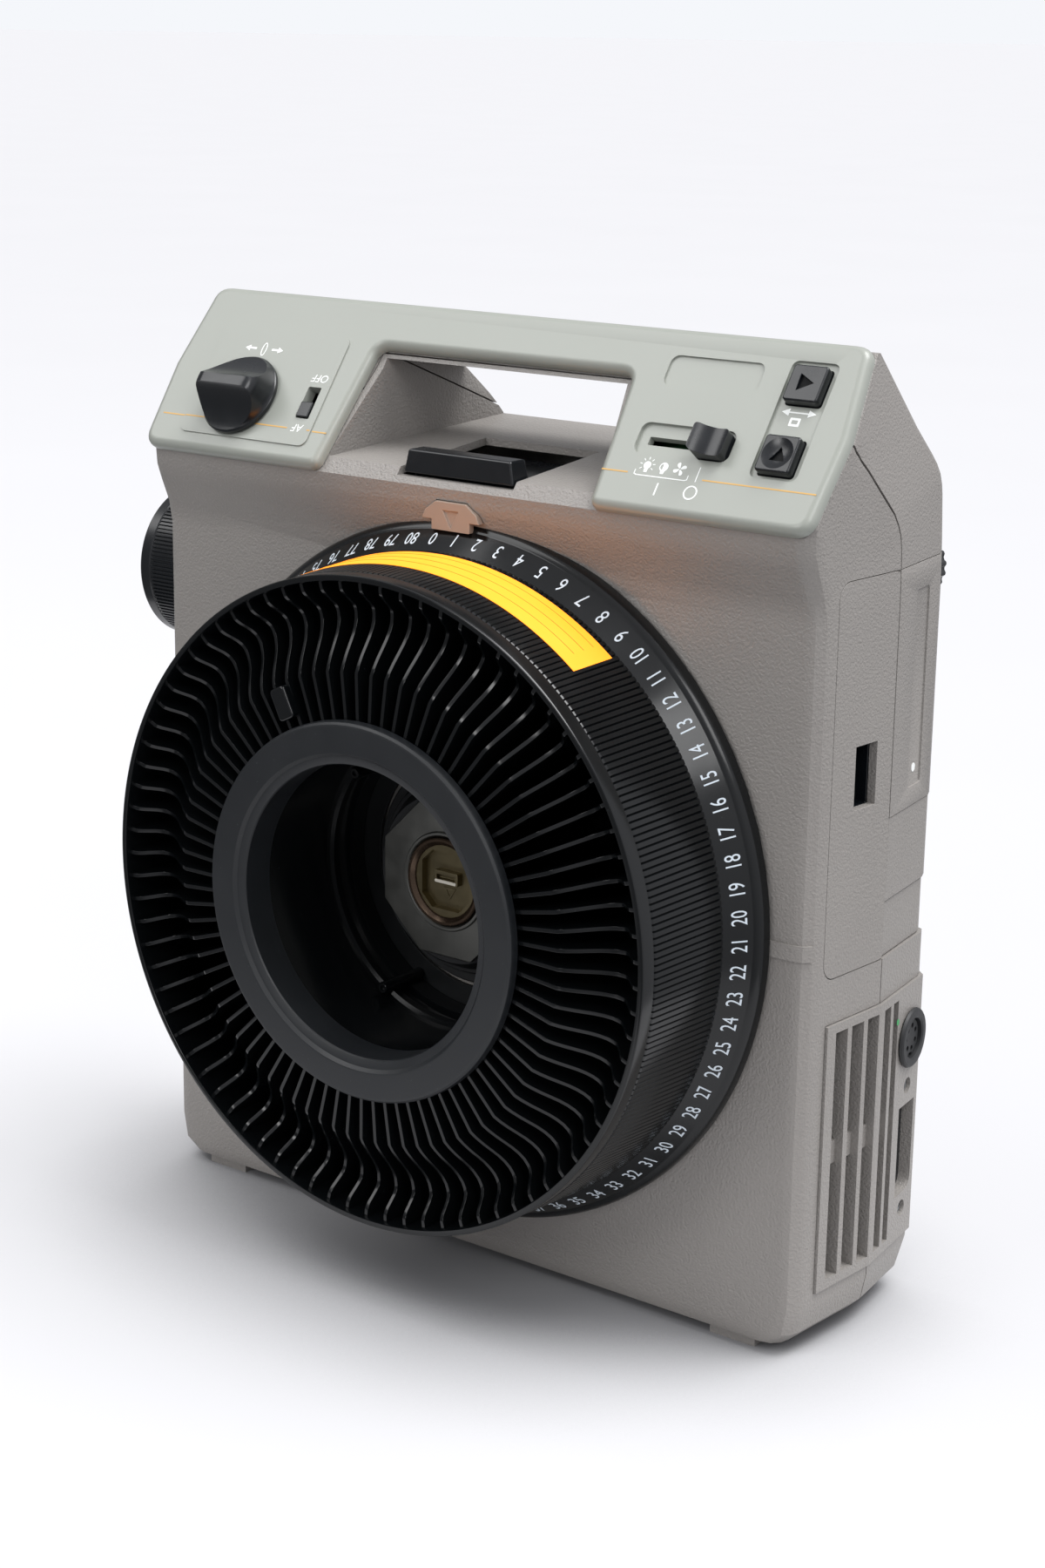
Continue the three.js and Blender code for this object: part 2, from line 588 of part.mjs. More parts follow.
// Openings under the panel for what its controls carry inside
const controlHoles = [
  roundedRectangle(focus.x - focus.shaftRadius * 2, focus.x + focus.shaftRadius * 2,
    focus.s - focus.shaftRadius * 2, focus.s + focus.shaftRadius * 2, focus.shaftRadius),
  roundedRectangle(afSlot.left - wall, afSlot.right + wall, afSlot.bottom - wall, afSlot.top + wall,
    wall / 2),
  roundedRectangle(powerSlot.left - wall, powerSlot.right + wall, powerSlot.bottom - wall,
    powerSlot.top + wall, wall / 2),
  roundedRectangle(buttonSize.left - wall / 2, buttonSize.right + wall / 2, reverseButtonS.bottom - wall / 2,
    forwardButtonS.top + wall / 2, wall / 2),
].map((shape) => throughPanel(shape, -wall * 3, wall));
housing = cut(housing, ...controlHoles);

// Tabs that the projector stands on
function standingTabs(y0, y1) {
  const spans = [
    bodyCentreX - bodyHalfWidth + standing.leftInset,
    bodyCentreX + bodyHalfWidth - standing.rightInset - standing.width,
  ];
  return spans.map((x) => block(x, x + standing.width, y0, y1, 0, bodyBottomZ + wall));
}

const frontSpace = alongX(frontOfSeam(0), bodyCentreX - sideReach, bodyCentreX + sideReach);
const frontSpaceGrown = alongX(frontOfSeam(seamGap), bodyCentreX - sideReach, bodyCentreX + sideReach);
const liningSpace = openingSolid(opening.lining).intersect(underLiningSeam(0));
const liningSpaceGrown = openingSolid(opening.lining + seamGap).intersect(underLiningSeam(seamGap));
const backTabY = baseY - standing.backInset;
const topHousing = joined(
  housing.intersect(frontSpace.add(liningSpace)),
  ...standingTabs(standing.frontY, standing.frontY + standing.depth),
);
const baseHousing = joined(
  cut(housing, frontSpaceGrown, liningSpaceGrown),
  ...standingTabs(backTabY - standing.depth, backTabY),
);
addPiece(root, 'top_housing', topHousing, finishes.housing);
addPiece(root, 'base_housing', baseHousing, finishes.housing);

// Pointer over the tray's number ring, with a sunk triangle
const pointerMark = outline([
  [pointer.x - pointer.markHalf, pointer.markTopZ],
  [pointer.x, pointer.markTopZ - pointer.markHeight],
  [pointer.x + pointer.markHalf, pointer.markTopZ],
]);
addPiece(root, 'tray_pointer', cut(
  alongY(pointerOutline(0), pointer.frontY, pointer.backY),
  alongY(pointerMark, pointer.frontY - pointer.markDepth, pointer.frontY + pointer.markDepth),
), finishes.pointer);

// Control panel: two blocks joined by the handle bar, with rounded front edges
function panelOutline() {
  const r = panel.cornerRadius;
  const inner = panel.openCorner;
  const foot = panel.footCorner;
  const shape = new THREE.Shape();
  const left = { bottom: inPanelX(panel.openLeftBottom), top: inPanelX(panel.openLeftTop) };
  const right = { bottom: inPanelX(panel.openRightBottom), top: inPanelX(panel.openRightTop) };
  shape.moveTo(-panel.halfWidthBottom + r, panel.bottom);
  shape.lineTo(left.bottom - foot, panel.bottom);
  shape.quadraticCurveTo(left.bottom, panel.bottom, left.bottom, panel.bottom + foot);
  shape.lineTo(left.top, panel.openTop - inner);
  shape.quadraticCurveTo(left.top, panel.openTop, left.top + inner, panel.openTop);
  shape.lineTo(right.top - inner, panel.openTop);
  shape.quadraticCurveTo(right.top, panel.openTop, right.top, panel.openTop - inner);
  shape.lineTo(right.bottom, panel.bottom + foot);
  shape.quadraticCurveTo(right.bottom, panel.bottom, right.bottom + foot, panel.bottom);
  shape.lineTo(panel.halfWidthBottom - r, panel.bottom);
  shape.quadraticCurveTo(panel.halfWidthBottom, panel.bottom, panel.halfWidthBottom, panel.bottom + r);
  shape.lineTo(panel.halfWidthBend, panel.bendAt);
  shape.lineTo(panel.halfWidthTop, panel.top - r);
  shape.quadraticCurveTo(panel.halfWidthTop, panel.top, panel.halfWidthTop - r, panel.top);
  shape.lineTo(-panel.halfWidthTop + r, panel.top);
  shape.quadraticCurveTo(-panel.halfWidthTop, panel.top, -panel.halfWidthTop, panel.top - r);
  shape.lineTo(-panel.halfWidthBend, panel.bendAt);
  shape.lineTo(-panel.halfWidthBottom, panel.bottom + r);
  shape.quadraticCurveTo(-panel.halfWidthBottom, panel.bottom, -panel.halfWidthBottom + r, panel.bottom);
  return shape;
}

// A rectangle of the panel's own frame, as a solid between two heights
function onPanel(size, low, high, corner = 0) {
  const left = inPanelX(size.left);
  const right = inPanelX(size.right);
  if (corner === 0) return block(left, right, size.bottom, size.top, low, high);
  return alongZ(roundedRectangle(left, right, size.bottom, size.top, corner), low, high, 3);
}

function grown(size, by) {
  return { left: size.left - by, right: size.right + by, bottom: size.bottom - by, top: size.top + by };
}

const panelBevel = new THREE.ExtrudeGeometry(panelOutline(), {
  depth: panel.thick, bevelEnabled: true, bevelSize: panel.round, bevelOffset: -panel.round,
  bevelThickness: panel.round, bevelSegments: 3, curveSegments: 4,
});
panelBevel.translate(0, 0, -panel.round);
const panelKeep = block(-sideReach, sideReach, panel.bottom - overrun, panel.top + overrun, 0,
  panel.thick + overrun);
const forwardButton = { left: buttonSize.left, right: buttonSize.right, ...forwardButtonS };
const reverseButton = { left: buttonSize.left, right: buttonSize.right, ...reverseButtonS };
const face = panel.thick;
const controlPanel = cut(
  joined(toSolid(panelBevel).intersect(panelKeep), onPanel(subPlate, face / 2, face + subPlate.rise,
    subPlate.corner)),
  cylinderZ(focus.shaftRadius + clearance, -overrun, overrun, inPanelX(focus.x), focus.s, 24),
  onPanel(afSlot, -overrun, overrun),
  onPanel(powerSlot, -overrun, overrun),
  onPanel(labelRecess, face - labelRecess.depth, overrun, labelRecess.corner),
  onPanel(powerRecess, face - powerRecess.depth, overrun, powerRecess.corner),
  onPanel(buttonRecess, face - buttonRecess.depth, overrun, buttonRecess.corner),
  onPanel(grown(forwardButton, clearance), -overrun, overrun),
  onPanel(grown(reverseButton, clearance), -overrun, overrun),
);
addPiece(panelGroup, 'control_panel', controlPanel, finishes.panel);

// Focus knob: a round base that rises to a finger grip, scooped on its lower side
const knobTurned = [
  [0, 0], [focus.baseRadius, 0], [focus.baseRadius, focus.rimHeight],
  [focus.gripReach + focus.rimHeight / 2, focus.height * focus.shoulderShare],
  [focus.gripReach, focus.height], [0, focus.height],
];
function turnedZ(profile, x, y, z, sides) {
  const points = profile.map(([radius, height]) => new THREE.Vector2(radius, height));
  const geometry = new THREE.LatheGeometry(points, sides);
  geometry.rotateX(Math.PI / 2);
  geometry.translate(x, y, z);
  return toSolid(outward(geometry));
}
const knobFootZ = face + subPlate.rise + clearance;
const knobX = inPanelX(focus.x);
const knobRidge = focus.gripThick / 2;
const knobTopZ = knobFootZ + focus.height;
const knobBrow = new THREE.Shape();
knobBrow.moveTo(focus.s + knobRidge, knobTopZ);
knobBrow.quadraticCurveTo(
  focus.s + focus.baseRadius * focus.browShare, knobTopZ, focus.s + focus.baseRadius,
  knobFootZ + focus.rimHeight);
knobBrow.lineTo(focus.s + focus.baseRadius * 2, knobFootZ + focus.rimHeight);
knobBrow.lineTo(focus.s + focus.baseRadius * 2, knobTopZ + focus.height);
knobBrow.lineTo(focus.s + knobRidge, knobTopZ + focus.height);
const scoopRadius = focus.height * focus.scoopShare;
const scoopX = [knobX - focus.baseRadius * 2, knobX + focus.baseRadius * 2];
addPiece(panelGroup, 'focus_knob', cut(
  turnedZ(knobTurned, knobX, focus.s, knobFootZ, 40),
  alongX(knobBrow, ...scoopX),
  cylinderX(scoopRadius, ...scoopX, focus.s - knobRidge - scoopRadius,
    knobFootZ + focus.scoopFoot + scoopRadius, 40),
  cylinderZ(focus.shaftRadius + clearance, knobFootZ - overrun, knobFootZ + focus.boreDepth, knobX, focus.s,
    24),
), finishes.black);

// Focus shaft and the pinion that drives the lens barrel's rack
const lensInPanel = {
  s: (lensAxis.y - panelFoot.y) * Math.sin(panelLean) + (lensAxis.z - panelFoot.z) * Math.cos(panelLean),
  w: -(lensAxis.y - panelFoot.y) * Math.cos(panelLean) + (lensAxis.z - panelFoot.z) * Math.sin(panelLean),
};
const pinionReach = focus.s - lensInPanel.s;
const pinionRadius = pinionReach - lens.rackRadius - clearance;
function gearOutline(radius, depth, teeth) {
  const points = [];
  for (let i = 0; i < teeth; i += 1) {
    for (const [share, r] of [[0, radius - depth], [0.25, radius], [0.5, radius], [0.75, radius - depth]]) {
      const angle = (i + share) * 2 * Math.PI / teeth;
      points.push([r * Math.cos(angle), r * Math.sin(angle)]);
    }
  }
  return points;
}
const pinionPoints = gearOutline(pinionRadius, lens.toothDepth, lens.pinionTeeth)
  .map(([x, y]) => [knobX + x, focus.s + y]);
addPiece(panelGroup, 'focus_shaft', joined(
  cylinderZ(focus.shaftRadius, lensInPanel.w - lens.pinionThick, knobFootZ + focus.boreDepth - clearance,
    knobX, focus.s, 20),
  alongZ(outline(pinionPoints), lensInPanel.w - lens.pinionThick / 2, lensInPanel.w + lens.pinionThick / 2),
), finishes.steel);

// Autofocus switch lever with its sliding shutter behind the slot
const leverSize = {
  left: afSlot.left + clearance, right: afSlot.right - clearance,
  bottom: afSlot.bottom + clearance, top: afSlot.bottom + (afSlot.top - afSlot.bottom) / 2,
};
addPiece(panelGroup, 'af_switch_lever', joined(
  onPanel(leverSize, -clearance - afLever.shutterThick, face + subPlate.rise + afLever.proud),
  onPanel(grown(leverSize, afLever.shutterLap), -clearance - afLever.shutterThick, -clearance),
), finishes.black);

// Power slider: off at the right, then fan, low lamp and high lamp to the left
const sliderStem = {
  left: powerSlot.right - powerKnob.stemWidth - clearance, right: powerSlot.right - clearance,
  bottom: powerSlot.bottom + clearance, top: powerSlot.top - clearance,
};
const sliderFootZ = face - powerRecess.depth + clearance;
const sliderTopZ = sliderFootZ + powerKnob.height;
const sliderWaist = cylinderY(powerKnob.height, powerKnob.bottom - overrun, powerKnob.top + overrun,
  inPanelX(powerKnob.left + (powerKnob.right - powerKnob.left) * powerKnob.waistShare),
  sliderFootZ + powerKnob.height * powerKnob.waistLiftShare, 32);
addPiece(panelGroup, 'power_slider', joined(
  cut(onPanel(powerKnob, sliderFootZ, sliderTopZ, powerKnob.corner), sliderWaist),
  onPanel(sliderStem, -powerKnob.stemDepth, sliderFootZ + clearance),
), finishes.black);

// Forward and reverse buttons, each with a retaining lip under the panel
function pushButton(size, mark) {
  const lip = grown(size, buttonSize.lip);
  const body = joined(
    onPanel(size, -buttonSize.skirt, face + buttonSize.proud, buttonSize.corner),
    onPanel(lip, -buttonSize.skirt, -buttonSize.skirt + buttonSize.lip),
  );
  return cut(body, mark);
}
const buttonTopZ = face + buttonSize.proud;
function triangleMark(size, direction) {
  const x = inPanelX((size.left + size.right) / 2);
  const s = (size.bottom + size.top) / 2;
  const half = buttonSize.markHalf;
  const points = direction === 'forward'
    ? [[x - half, s + half], [x - half, s - half], [x + half, s]]
    : [[x - half, s - half], [x + half, s - half], [x, s + half]];
  return alongZ(outline(points), buttonTopZ - buttonSize.markDepth, buttonTopZ + overrun);
}
const dishX = inPanelX((reverseButton.left + reverseButton.right) / 2);
const dishS = (reverseButton.bottom + reverseButton.top) / 2;
const dish = new THREE.SphereGeometry(buttonSize.dishSphere, 32, 16);
dish.translate(dishX, dishS, buttonTopZ + buttonSize.dishSphere - buttonSize.markDepth);
addPiece(panelGroup, 'forward_button', pushButton(forwardButton, triangleMark(forwardButton, 'forward')),
  finishes.black);
addPiece(panelGroup, 'reverse_button', pushButton(reverseButton, toSolid(dish)), finishes.black);

// Circuit board behind the panel's right block, on spacers
const boardSize = {
  left: powerRecess.left, right: buttonRecess.right, bottom: powerRecess.bottom - wall,
  top: labelRecess.bottom,
};
const boardTopZ = -clearance - wall - controlBoard.spacer;
const boardPosts = [boardSize.left, boardSize.right - controlBoard.post].flatMap((left) => (
  controlBoard.postS.map((bottom) => onPanel({
    left, right: left + controlBoard.post, bottom, top: bottom + controlBoard.post,
  }, boardTopZ - controlBoard.thick, -2 * clearance - wall))));
addPiece(panelGroup, 'control_board', joined(
  onPanel(boardSize, boardTopZ - controlBoard.thick, boardTopZ), ...boardPosts), finishes.board);

// Select bar: pressed to let the tray turn freely
addPiece(root, 'select_bar', joined(
  block(selectBar.leftX, selectBar.rightX, selectBar.frontY, selectBar.frontY + selectBar.depth,
    selectBar.carrierZ, selectBar.topZ),
  block(selectBar.leftX, selectBar.rightX, selectBar.frontY + selectBar.depth * selectBar.carrierShare,
    selectSlot.backY + wall * 2, selectBar.carrierZ - selectBar.carrierThick, selectBar.carrierZ),
), finishes.black);

// Tray: drum with slide slots between fins, turning about Y
const trayProfile = [
  [tray.rimRadius - tray.wall, tray.rimFrontY], [tray.rimRadius, tray.rimFrontY],
  [tray.skirtTopRadius, tray.skirtTopY],
  [tray.flangeRadius, tray.flangeFrontY], [tray.flangeRadius, tray.flangeFrontY + tray.flangeThick],
  [tray.rimRadius, tray.flangeFrontY + tray.flangeThick], [tray.rimRadius, tray.backY],
  [tray.rimRadius - tray.wall, tray.backY],
];
const innerWallProfile = [
  [tray.innerRadius, tray.innerFrontY], [tray.innerRadius + tray.innerWall, tray.innerFrontY],
  [tray.innerRadius + tray.innerWall, tray.backY], [tray.innerRadius, tray.backY],
];
// One fin between two slides: its front edge dips towards the rim
const finProfile = [
  [tray.innerRadius + tray.innerWall / 2, tray.finFrontY], [tray.finBendRadius, tray.finFrontY],
  [tray.finDipRadius, tray.finDipY], [tray.finEndRadius, tray.finDipY],
  [tray.rimRadius - tray.wall / 2, tray.finGapY], [tray.rimRadius - tray.wall / 2, tray.finBackY],
  [tray.innerRadius + tray.innerWall / 2, tray.finBackY],
];
const finGeometry = extruded(outline(finProfile), tray.finThick);
finGeometry.translate(0, 0, -tray.finThick / 2);
const facetTurn = -THREE.MathUtils.degToRad(tray.finPhase) - Math.PI / tray.slots;
let trayBody = joined(turned(trayProfile, tray.slots, facetTurn),
  turned(innerWallProfile, tray.slots, facetTurn));
for (let i = 0; i < tray.slots; i += 1) {
  const fin = finGeometry.clone();
  fin.rotateY(-THREE.MathUtils.degToRad(tray.finPhase) - i * 2 * Math.PI / tray.slots);
  trayBody = trayBody.add(toSolid(fin));
}
const lug = new THREE.BoxGeometry(trayLug.length, trayLug.depth, trayLug.width);
lug.translate(trayLug.radius, trayLug.frontY + trayLug.depth / 2, 0);
lug.rotateY(-THREE.MathUtils.degToRad(trayLug.turn));
trayBody = trayBody.add(toSolid(lug));
// The flange's notch lets the tray lift past the pointer
const notchHalf = pointer.halfWidth * pointer.tabShare + 2 * clearance;
trayBody = cut(trayBody, block(pointer.x - notchHalf, pointer.x + notchHalf, tray.skirtTopY,
  tray.flangeFrontY + tray.flangeThick + wall, pointer.bottomZ - trayAxisZ - clearance,
  tray.flangeRadius + wall));
addPiece(trayGroup, 'tray_body', trayBody, finishes.trayBlack);

const ringBackY = tray.finFrontY - clearance;
addPiece(trayGroup, 'tray_lock_ring', turned([
  [lockRing.holeRadius, lockRing.faceY + lockRing.bevelDrop], [lockRing.bevelRadius, lockRing.faceY],
  [lockRing.outerRadius - lockRing.edgeDrop, lockRing.faceY],
  [lockRing.outerRadius, lockRing.faceY + lockRing.edgeDrop], [lockRing.outerRadius, ringBackY],
  [lockRing.skirtRadius, ringBackY], [lockRing.skirtRadius, ringBackY + lockRing.skirtDepth],
  [lockRing.holeRadius, ringBackY + lockRing.skirtDepth],
], 45), finishes.trayBlack);

const plateFrontY = tray.backY + clearance;
const plateSlot = block(gateX - slideSlot.halfWidth, gateX + slideSlot.halfWidth, plateFrontY - wall,
  plateFrontY + wall * 2, slideSlot.nearRadius, trayPlate.outerRadius + wall);
addPiece(trayGroup, 'tray_base_plate', cut(turned([
  [trayPlate.holeRadius, plateFrontY], [trayPlate.outerRadius, plateFrontY],
  [trayPlate.outerRadius, plateFrontY + trayPlate.thick],
  [trayPlate.holeRadius, plateFrontY + trayPlate.thick],
], 48), plateSlot), finishes.zinc);

// Hub in the middle of the deck, its metal plate and the coin-slot release
const hubSeatY = recess.floorY - clearance;
addPiece(trayGroup, 'tray_hub', cut(
  turned([[0, hubSeatY], [hub.radius, hubSeatY], [hub.radius, hub.stepY],
    [hub.plateRadius + wall, hub.frontY],
    [0, hub.frontY]], 36),
  cylinderY(hub.dishRadius + clearance, hub.frontY - wall, hub.frontY + hub.dishDepth, 0, 0, 32),
), finishes.darkPlastic);
addPiece(trayGroup, 'hub_plate', cut(
  cylinderY(hub.plateRadius, hub.frontY - clearance - hub.plateThick, hub.frontY - clearance, 0, 0, 10),
  cylinderY(hub.dishRadius + clearance, hub.frontY - wall * 2, hub.frontY + wall, 0, 0, 32),
), finishes.steel);
const screwFaceY = hub.frontY - hub.plateThick + hub.screwSink;
addPiece(trayGroup, 'release_screw', cut(
  cylinderY(hub.dishRadius - clearance, screwFaceY, hub.frontY + hub.dishDepth - clearance, 0, 0, 32),
  block(-hub.dishRadius * hub.slotShare, hub.dishRadius * hub.slotShare, screwFaceY - wall,
    screwFaceY + hub.screwSink, -hub.slotWidth / 2, hub.slotWidth / 2),
), finishes.steel);

// Lens barrel with its rack, the glasses it holds and the split sleeve it slides in
function turnedX(profile, sides) {
  const points = profile.map(([x, radius]) => new THREE.Vector2(radius, x));
  const geometry = new THREE.LatheGeometry([...points, points[0]], sides);
  geometry.rotateZ(-Math.PI / 2);
  geometry.translate(0, lensAxis.y, lensAxis.z);
  return toSolid(outward(geometry));
}
const barrelBore = lens.radius - lens.wall;
const frontCellBack = lens.frontX + lens.cellDepth;
const rearCellFront = lens.backX - lens.cellDepth;
const rackGeometry = new THREE.BoxGeometry(lens.rackLength, lens.rackWidth,
  lens.rackRadius - barrelBore - clearance);
rackGeometry.translate(focus.x, 0, (lens.rackRadius + barrelBore + clearance) / 2);
rackGeometry.rotateX(-panelLean);
rackGeometry.translate(0, lensAxis.y, lensAxis.z);
addPiece(root, 'lens_barrel', joined(turnedX([
  [lens.frontX, lens.radius - lens.edge], [lens.frontX + lens.edge, lens.radius], [lens.backX, lens.radius],
  [lens.backX, lens.rearGlassRadius + clearance], [rearCellFront, lens.rearGlassRadius + clearance],
  [rearCellFront, barrelBore], [frontCellBack, barrelBore],
  [frontCellBack, lens.frontGlassRadius + clearance],
  [lens.frontX + lens.edge, lens.frontGlassRadius + clearance],
  [lens.frontX, lens.frontGlassRadius + lens.edge],
], 32), toSolid(rackGeometry)), finishes.black);

// A lens glass: flat behind, crowned in front
function glass(x0, x1, radius, crown) {
  const profile = [[x1, 0], [x1, radius], [x0 + crown, radius]];
  const steps = 4;
  for (let i = 1; i < steps; i += 1) {
    const r = radius * (1 - i / steps);
    profile.push([x0 + crown * (r / radius) ** 2, r]);
  }
  profile.push([x0, 0]);
  const points = profile.map(([x, r]) => new THREE.Vector2(r, x));
  const geometry = new THREE.LatheGeometry(points, 28);
  geometry.rotateZ(-Math.PI / 2);
  geometry.translate(0, lensAxis.y, lensAxis.z);
  return toSolid(outward(geometry));
}
addPiece(root, 'lens_front_glass', glass(lens.frontX + lens.edge * 2, frontCellBack - clearance,
  lens.frontGlassRadius, lens.crown), finishes.glass);
addPiece(root, 'lens_rear_glass', glass(rearCellFront + clearance, lens.backX - lens.edge,
  lens.rearGlassRadius, lens.crown), finishes.glass);

const sleeveBore = lens.radius + 2 * clearance;
const sleeveSplit = new THREE.BoxGeometry(overrun * 8, sleeve.slotWidth, lens.radius * 2);
sleeveSplit.translate(focus.x, 0, lens.radius * sleeve.slotReachShare);
sleeveSplit.rotateX(-panelLean);
sleeveSplit.translate(0, lensAxis.y, lensAxis.z);
addPiece(root, 'lens_sleeve', cut(turnedX([
  [sleeve.leftX, sleeveBore], [sleeve.leftX, sleeve.radius], [sleeve.rightX, sleeve.radius],
  [sleeve.rightX, sleeveBore],
], 40), toSolid(sleeveSplit)), finishes.darkPlastic);

// Mechanism plate behind the deck, and the gate that a slide drops into
const plateBackY = mechanismPlate.frontY + mechanismPlate.thick;
const seatY = plateBackY + clearance;
const baseSeatY = baseY - wall - clearance;
const slideGap = block(gateX - slideSlot.halfWidth, gateX + slideSlot.halfWidth, 0, overrun,
  trayAxisZ + slideSlot.nearRadius, trayAxisZ + slideSlot.farRadius);
addPiece(root, 'mechanism_plate', cut(block(mechanismPlate.leftX, mechanismPlate.rightX,
  mechanismPlate.frontY, plateBackY, mechanismPlate.bottomZ, mechanismPlate.topZ), slideGap), finishes.zinc);

const slotLowZ = trayAxisZ + slideSlot.nearRadius - clearance;
const slotHighZ = trayAxisZ + slideSlot.farRadius + clearance;
addPiece(root, 'slide_gate', cut(
  block(gateX - gate.halfWidth, gateX + gate.halfWidth, seatY, baseSeatY, slotLowZ - gate.wall,
    slotHighZ + gate.wall),
  block(gateX - gate.slotHalf, gateX + gate.slotHalf, seatY - wall, baseSeatY - gate.wall / 2, slotLowZ,
    slotHighZ),
  block(gateX - gate.slotHalf, gateX + gate.slotHalf, seatY - wall, baseSeatY - gate.wall / 2,
    slotLowZ - overrun, slotHighZ - wall),
  block(gateX - overrun, gateX + overrun, lensAxis.y - gate.apertureHalf, lensAxis.y + gate.apertureHalf,
    lensAxis.z - gate.apertureHalf, lensAxis.z + gate.apertureHalf),
), finishes.darkPlastic);

// Lift lever that pushes a slide back into the tray, on its guide rod
const leverBackY = baseSeatY - gate.wall / 2 - clearance;
const rodZ = slotLowZ - gate.wall - liftLever.rodDrop;
addPiece(root, 'lift_guide_rod', cylinderY(liftLever.rodRadius, seatY, baseSeatY, gateX, rodZ, 16),
  finishes.steel);
addPiece(root, 'slide_lift_lever', cut(
  joined(
    block(gateX - liftLever.halfWidth, gateX + liftLever.halfWidth, leverBackY - liftLever.thick, leverBackY,
      rodZ, slotHighZ - wall),
    cylinderY(liftLever.collarRadius, leverBackY - liftLever.collarLength, leverBackY, gateX, rodZ, 24),
  ),
  cylinderY(liftLever.rodRadius + clearance, 0, baseY, gateX, rodZ, 16),
), finishes.steel);

// Condenser glasses between the gate and the lamp
addPiece(root, 'condenser_frame', cut(
  block(condenser.leftX, condenser.rightX, seatY, baseSeatY, lensAxis.z - condenser.halfHeight,
    lensAxis.z + condenser.halfHeight),
  cylinderX(condenser.glassRadius + clearance, condenser.leftX - wall, condenser.rightX + wall, lensAxis.y,
    lensAxis.z, 40),
), finishes.zinc);
addPiece(root, 'condenser_lens', glass(condenser.lensX, condenser.lensX + condenser.lensThick,
  condenser.glassRadius, condenser.crown), finishes.glass);
addPiece(root, 'heat_filter_glass', cylinderX(condenser.glassRadius, condenser.filterX,
  condenser.filterX + condenser.filterThick, lensAxis.y, lensAxis.z, 40), finishes.glass);

// Lamp module: a drawer with its covers, chassis, lamp and socket
function skinBetween(skin, thickness) {
  return cut(bodySolid(skin), bodySolid(skin + thickness));
}
const doorGap = clearance;
const doorShape = roundedRectangle(lampModule.frontY + doorGap, seamY + wall, lampModule.bottomZ + doorGap,
  lampModule.topZ - doorGap, lampModule.corner - doorGap);
const doorSkin = skinBetween(0, wall);
const doorWindow = block(rightInnerX - wall, bodyCentreX + sideReach, lampModule.windowFrontY,
  lampModule.windowBackY, lampModule.windowLowZ, lampModule.windowHighZ);
addPiece(root, 'lamp_module_door', cut(
  doorSkin.intersect(alongX(doorShape, rightInnerX + doorGap, bodyCentreX + sideReach))
    .intersect(alongX(frontOfSeam(0), rightInnerX, bodyCentreX + sideReach + wall)),
  doorWindow,
), finishes.housing);
const pocketOuter = block(lampModule.pocketX, rightInnerX + lampModule.pocketReach,
  lampModule.windowFrontY - wall / 2,
  lampModule.windowBackY + wall / 2, lampModule.windowLowZ - wall / 2, lampModule.windowHighZ + wall / 2);
addPiece(root, 'door_finger_pocket', cut(
  pocketOuter.intersect(bodySolid(wall + clearance)),
  block(lampModule.pocketX + wall / 2, bodyCentreX + sideReach, lampModule.windowFrontY,
    lampModule.windowBackY, lampModule.windowLowZ, lampModule.windowHighZ),
), finishes.black);

function rearCover(skin, lowZ, highZ) {
  return skinBetween(skin, wall).intersect(block(rightInnerX + doorGap, bodyCentreX + sideReach,
    seamY + seamGap, baseY + overrun, lowZ + doorGap / 2, highZ - doorGap / 2));
}
addPiece(root, 'lamp_module_cover', rearCover(0, lampModule.splitUpperZ, lampModule.topZ - doorGap / 2),
  finishes.housing);
addPiece(root, 'lamp_module_label_cover', rearCover(lampModule.middleSink, lampModule.splitLowerZ,
  lampModule.splitUpperZ), finishes.housing);
addPiece(root, 'lamp_module_lower_cover', rearCover(lampModule.lowerSink, lampModule.bottomZ + doorGap / 2,
  lampModule.splitLowerZ), finishes.housing);

const chassisLowZ = lampModule.bottomZ + chassis.inset;
const chassisHighZ = lampModule.topZ - chassis.inset;
const chassisEndX = rightInnerX + chassis.reach;
const chassisBackY = baseSeatY - lampModule.lowerSink - clearance;
addPiece(root, 'lamp_chassis', cut(
  joined(
    block(chassis.leftX, chassisEndX, chassisBackY - chassis.sheet, chassisBackY, chassisLowZ, chassisHighZ),
    block(chassis.leftX, chassisEndX, chassis.frontY, chassisBackY, chassisLowZ,
      chassisLowZ + chassis.sheet),
    block(chassis.leftX, chassisEndX, chassis.frontY, chassisBackY, chassisHighZ - chassis.sheet,
      chassisHighZ),
    block(chassis.leftX, chassis.leftX + chassis.sheet, chassis.frontY, chassisBackY, chassisLowZ,
      chassisHighZ),
  ),
  cylinderX(condenser.glassRadius, chassis.leftX - wall, chassis.leftX + wall, lensAxis.y, lensAxis.z, 40),
), finishes.zinc);

const lampFrontX = chassis.leftX + chassis.sheet + clearance;
const lampEndX = lampFrontX + lamp.depth + lamp.neck;
addPiece(root, 'reflector_lamp', turnedX([
  [lampFrontX, lamp.radius],
  [lampFrontX + lamp.rim, lamp.radius],
  [lampFrontX + lamp.depth * lamp.bowlDepthShare, lamp.radius * lamp.bowlRadiusShare],
  [lampFrontX + lamp.depth, lamp.neckRadius],
  [lampEndX, lamp.neckRadius],
  [lampEndX, lamp.pinRadius],
  [lampFrontX + lamp.rim * 2, lamp.pinRadius],
  [lampFrontX + lamp.rim * 2 + lamp.rim / 2, lamp.bulbRadius],
  [lampFrontX + lamp.depth * lamp.bulbShare, lamp.bulbRadius],
  [lampFrontX + lamp.depth * lamp.innerDepthShare, lamp.radius * lamp.innerRadiusShare],
  [lampFrontX + lamp.rim, lamp.radius - lamp.glass],
], 20), finishes.glass);
const socketX = lampEndX + clearance;
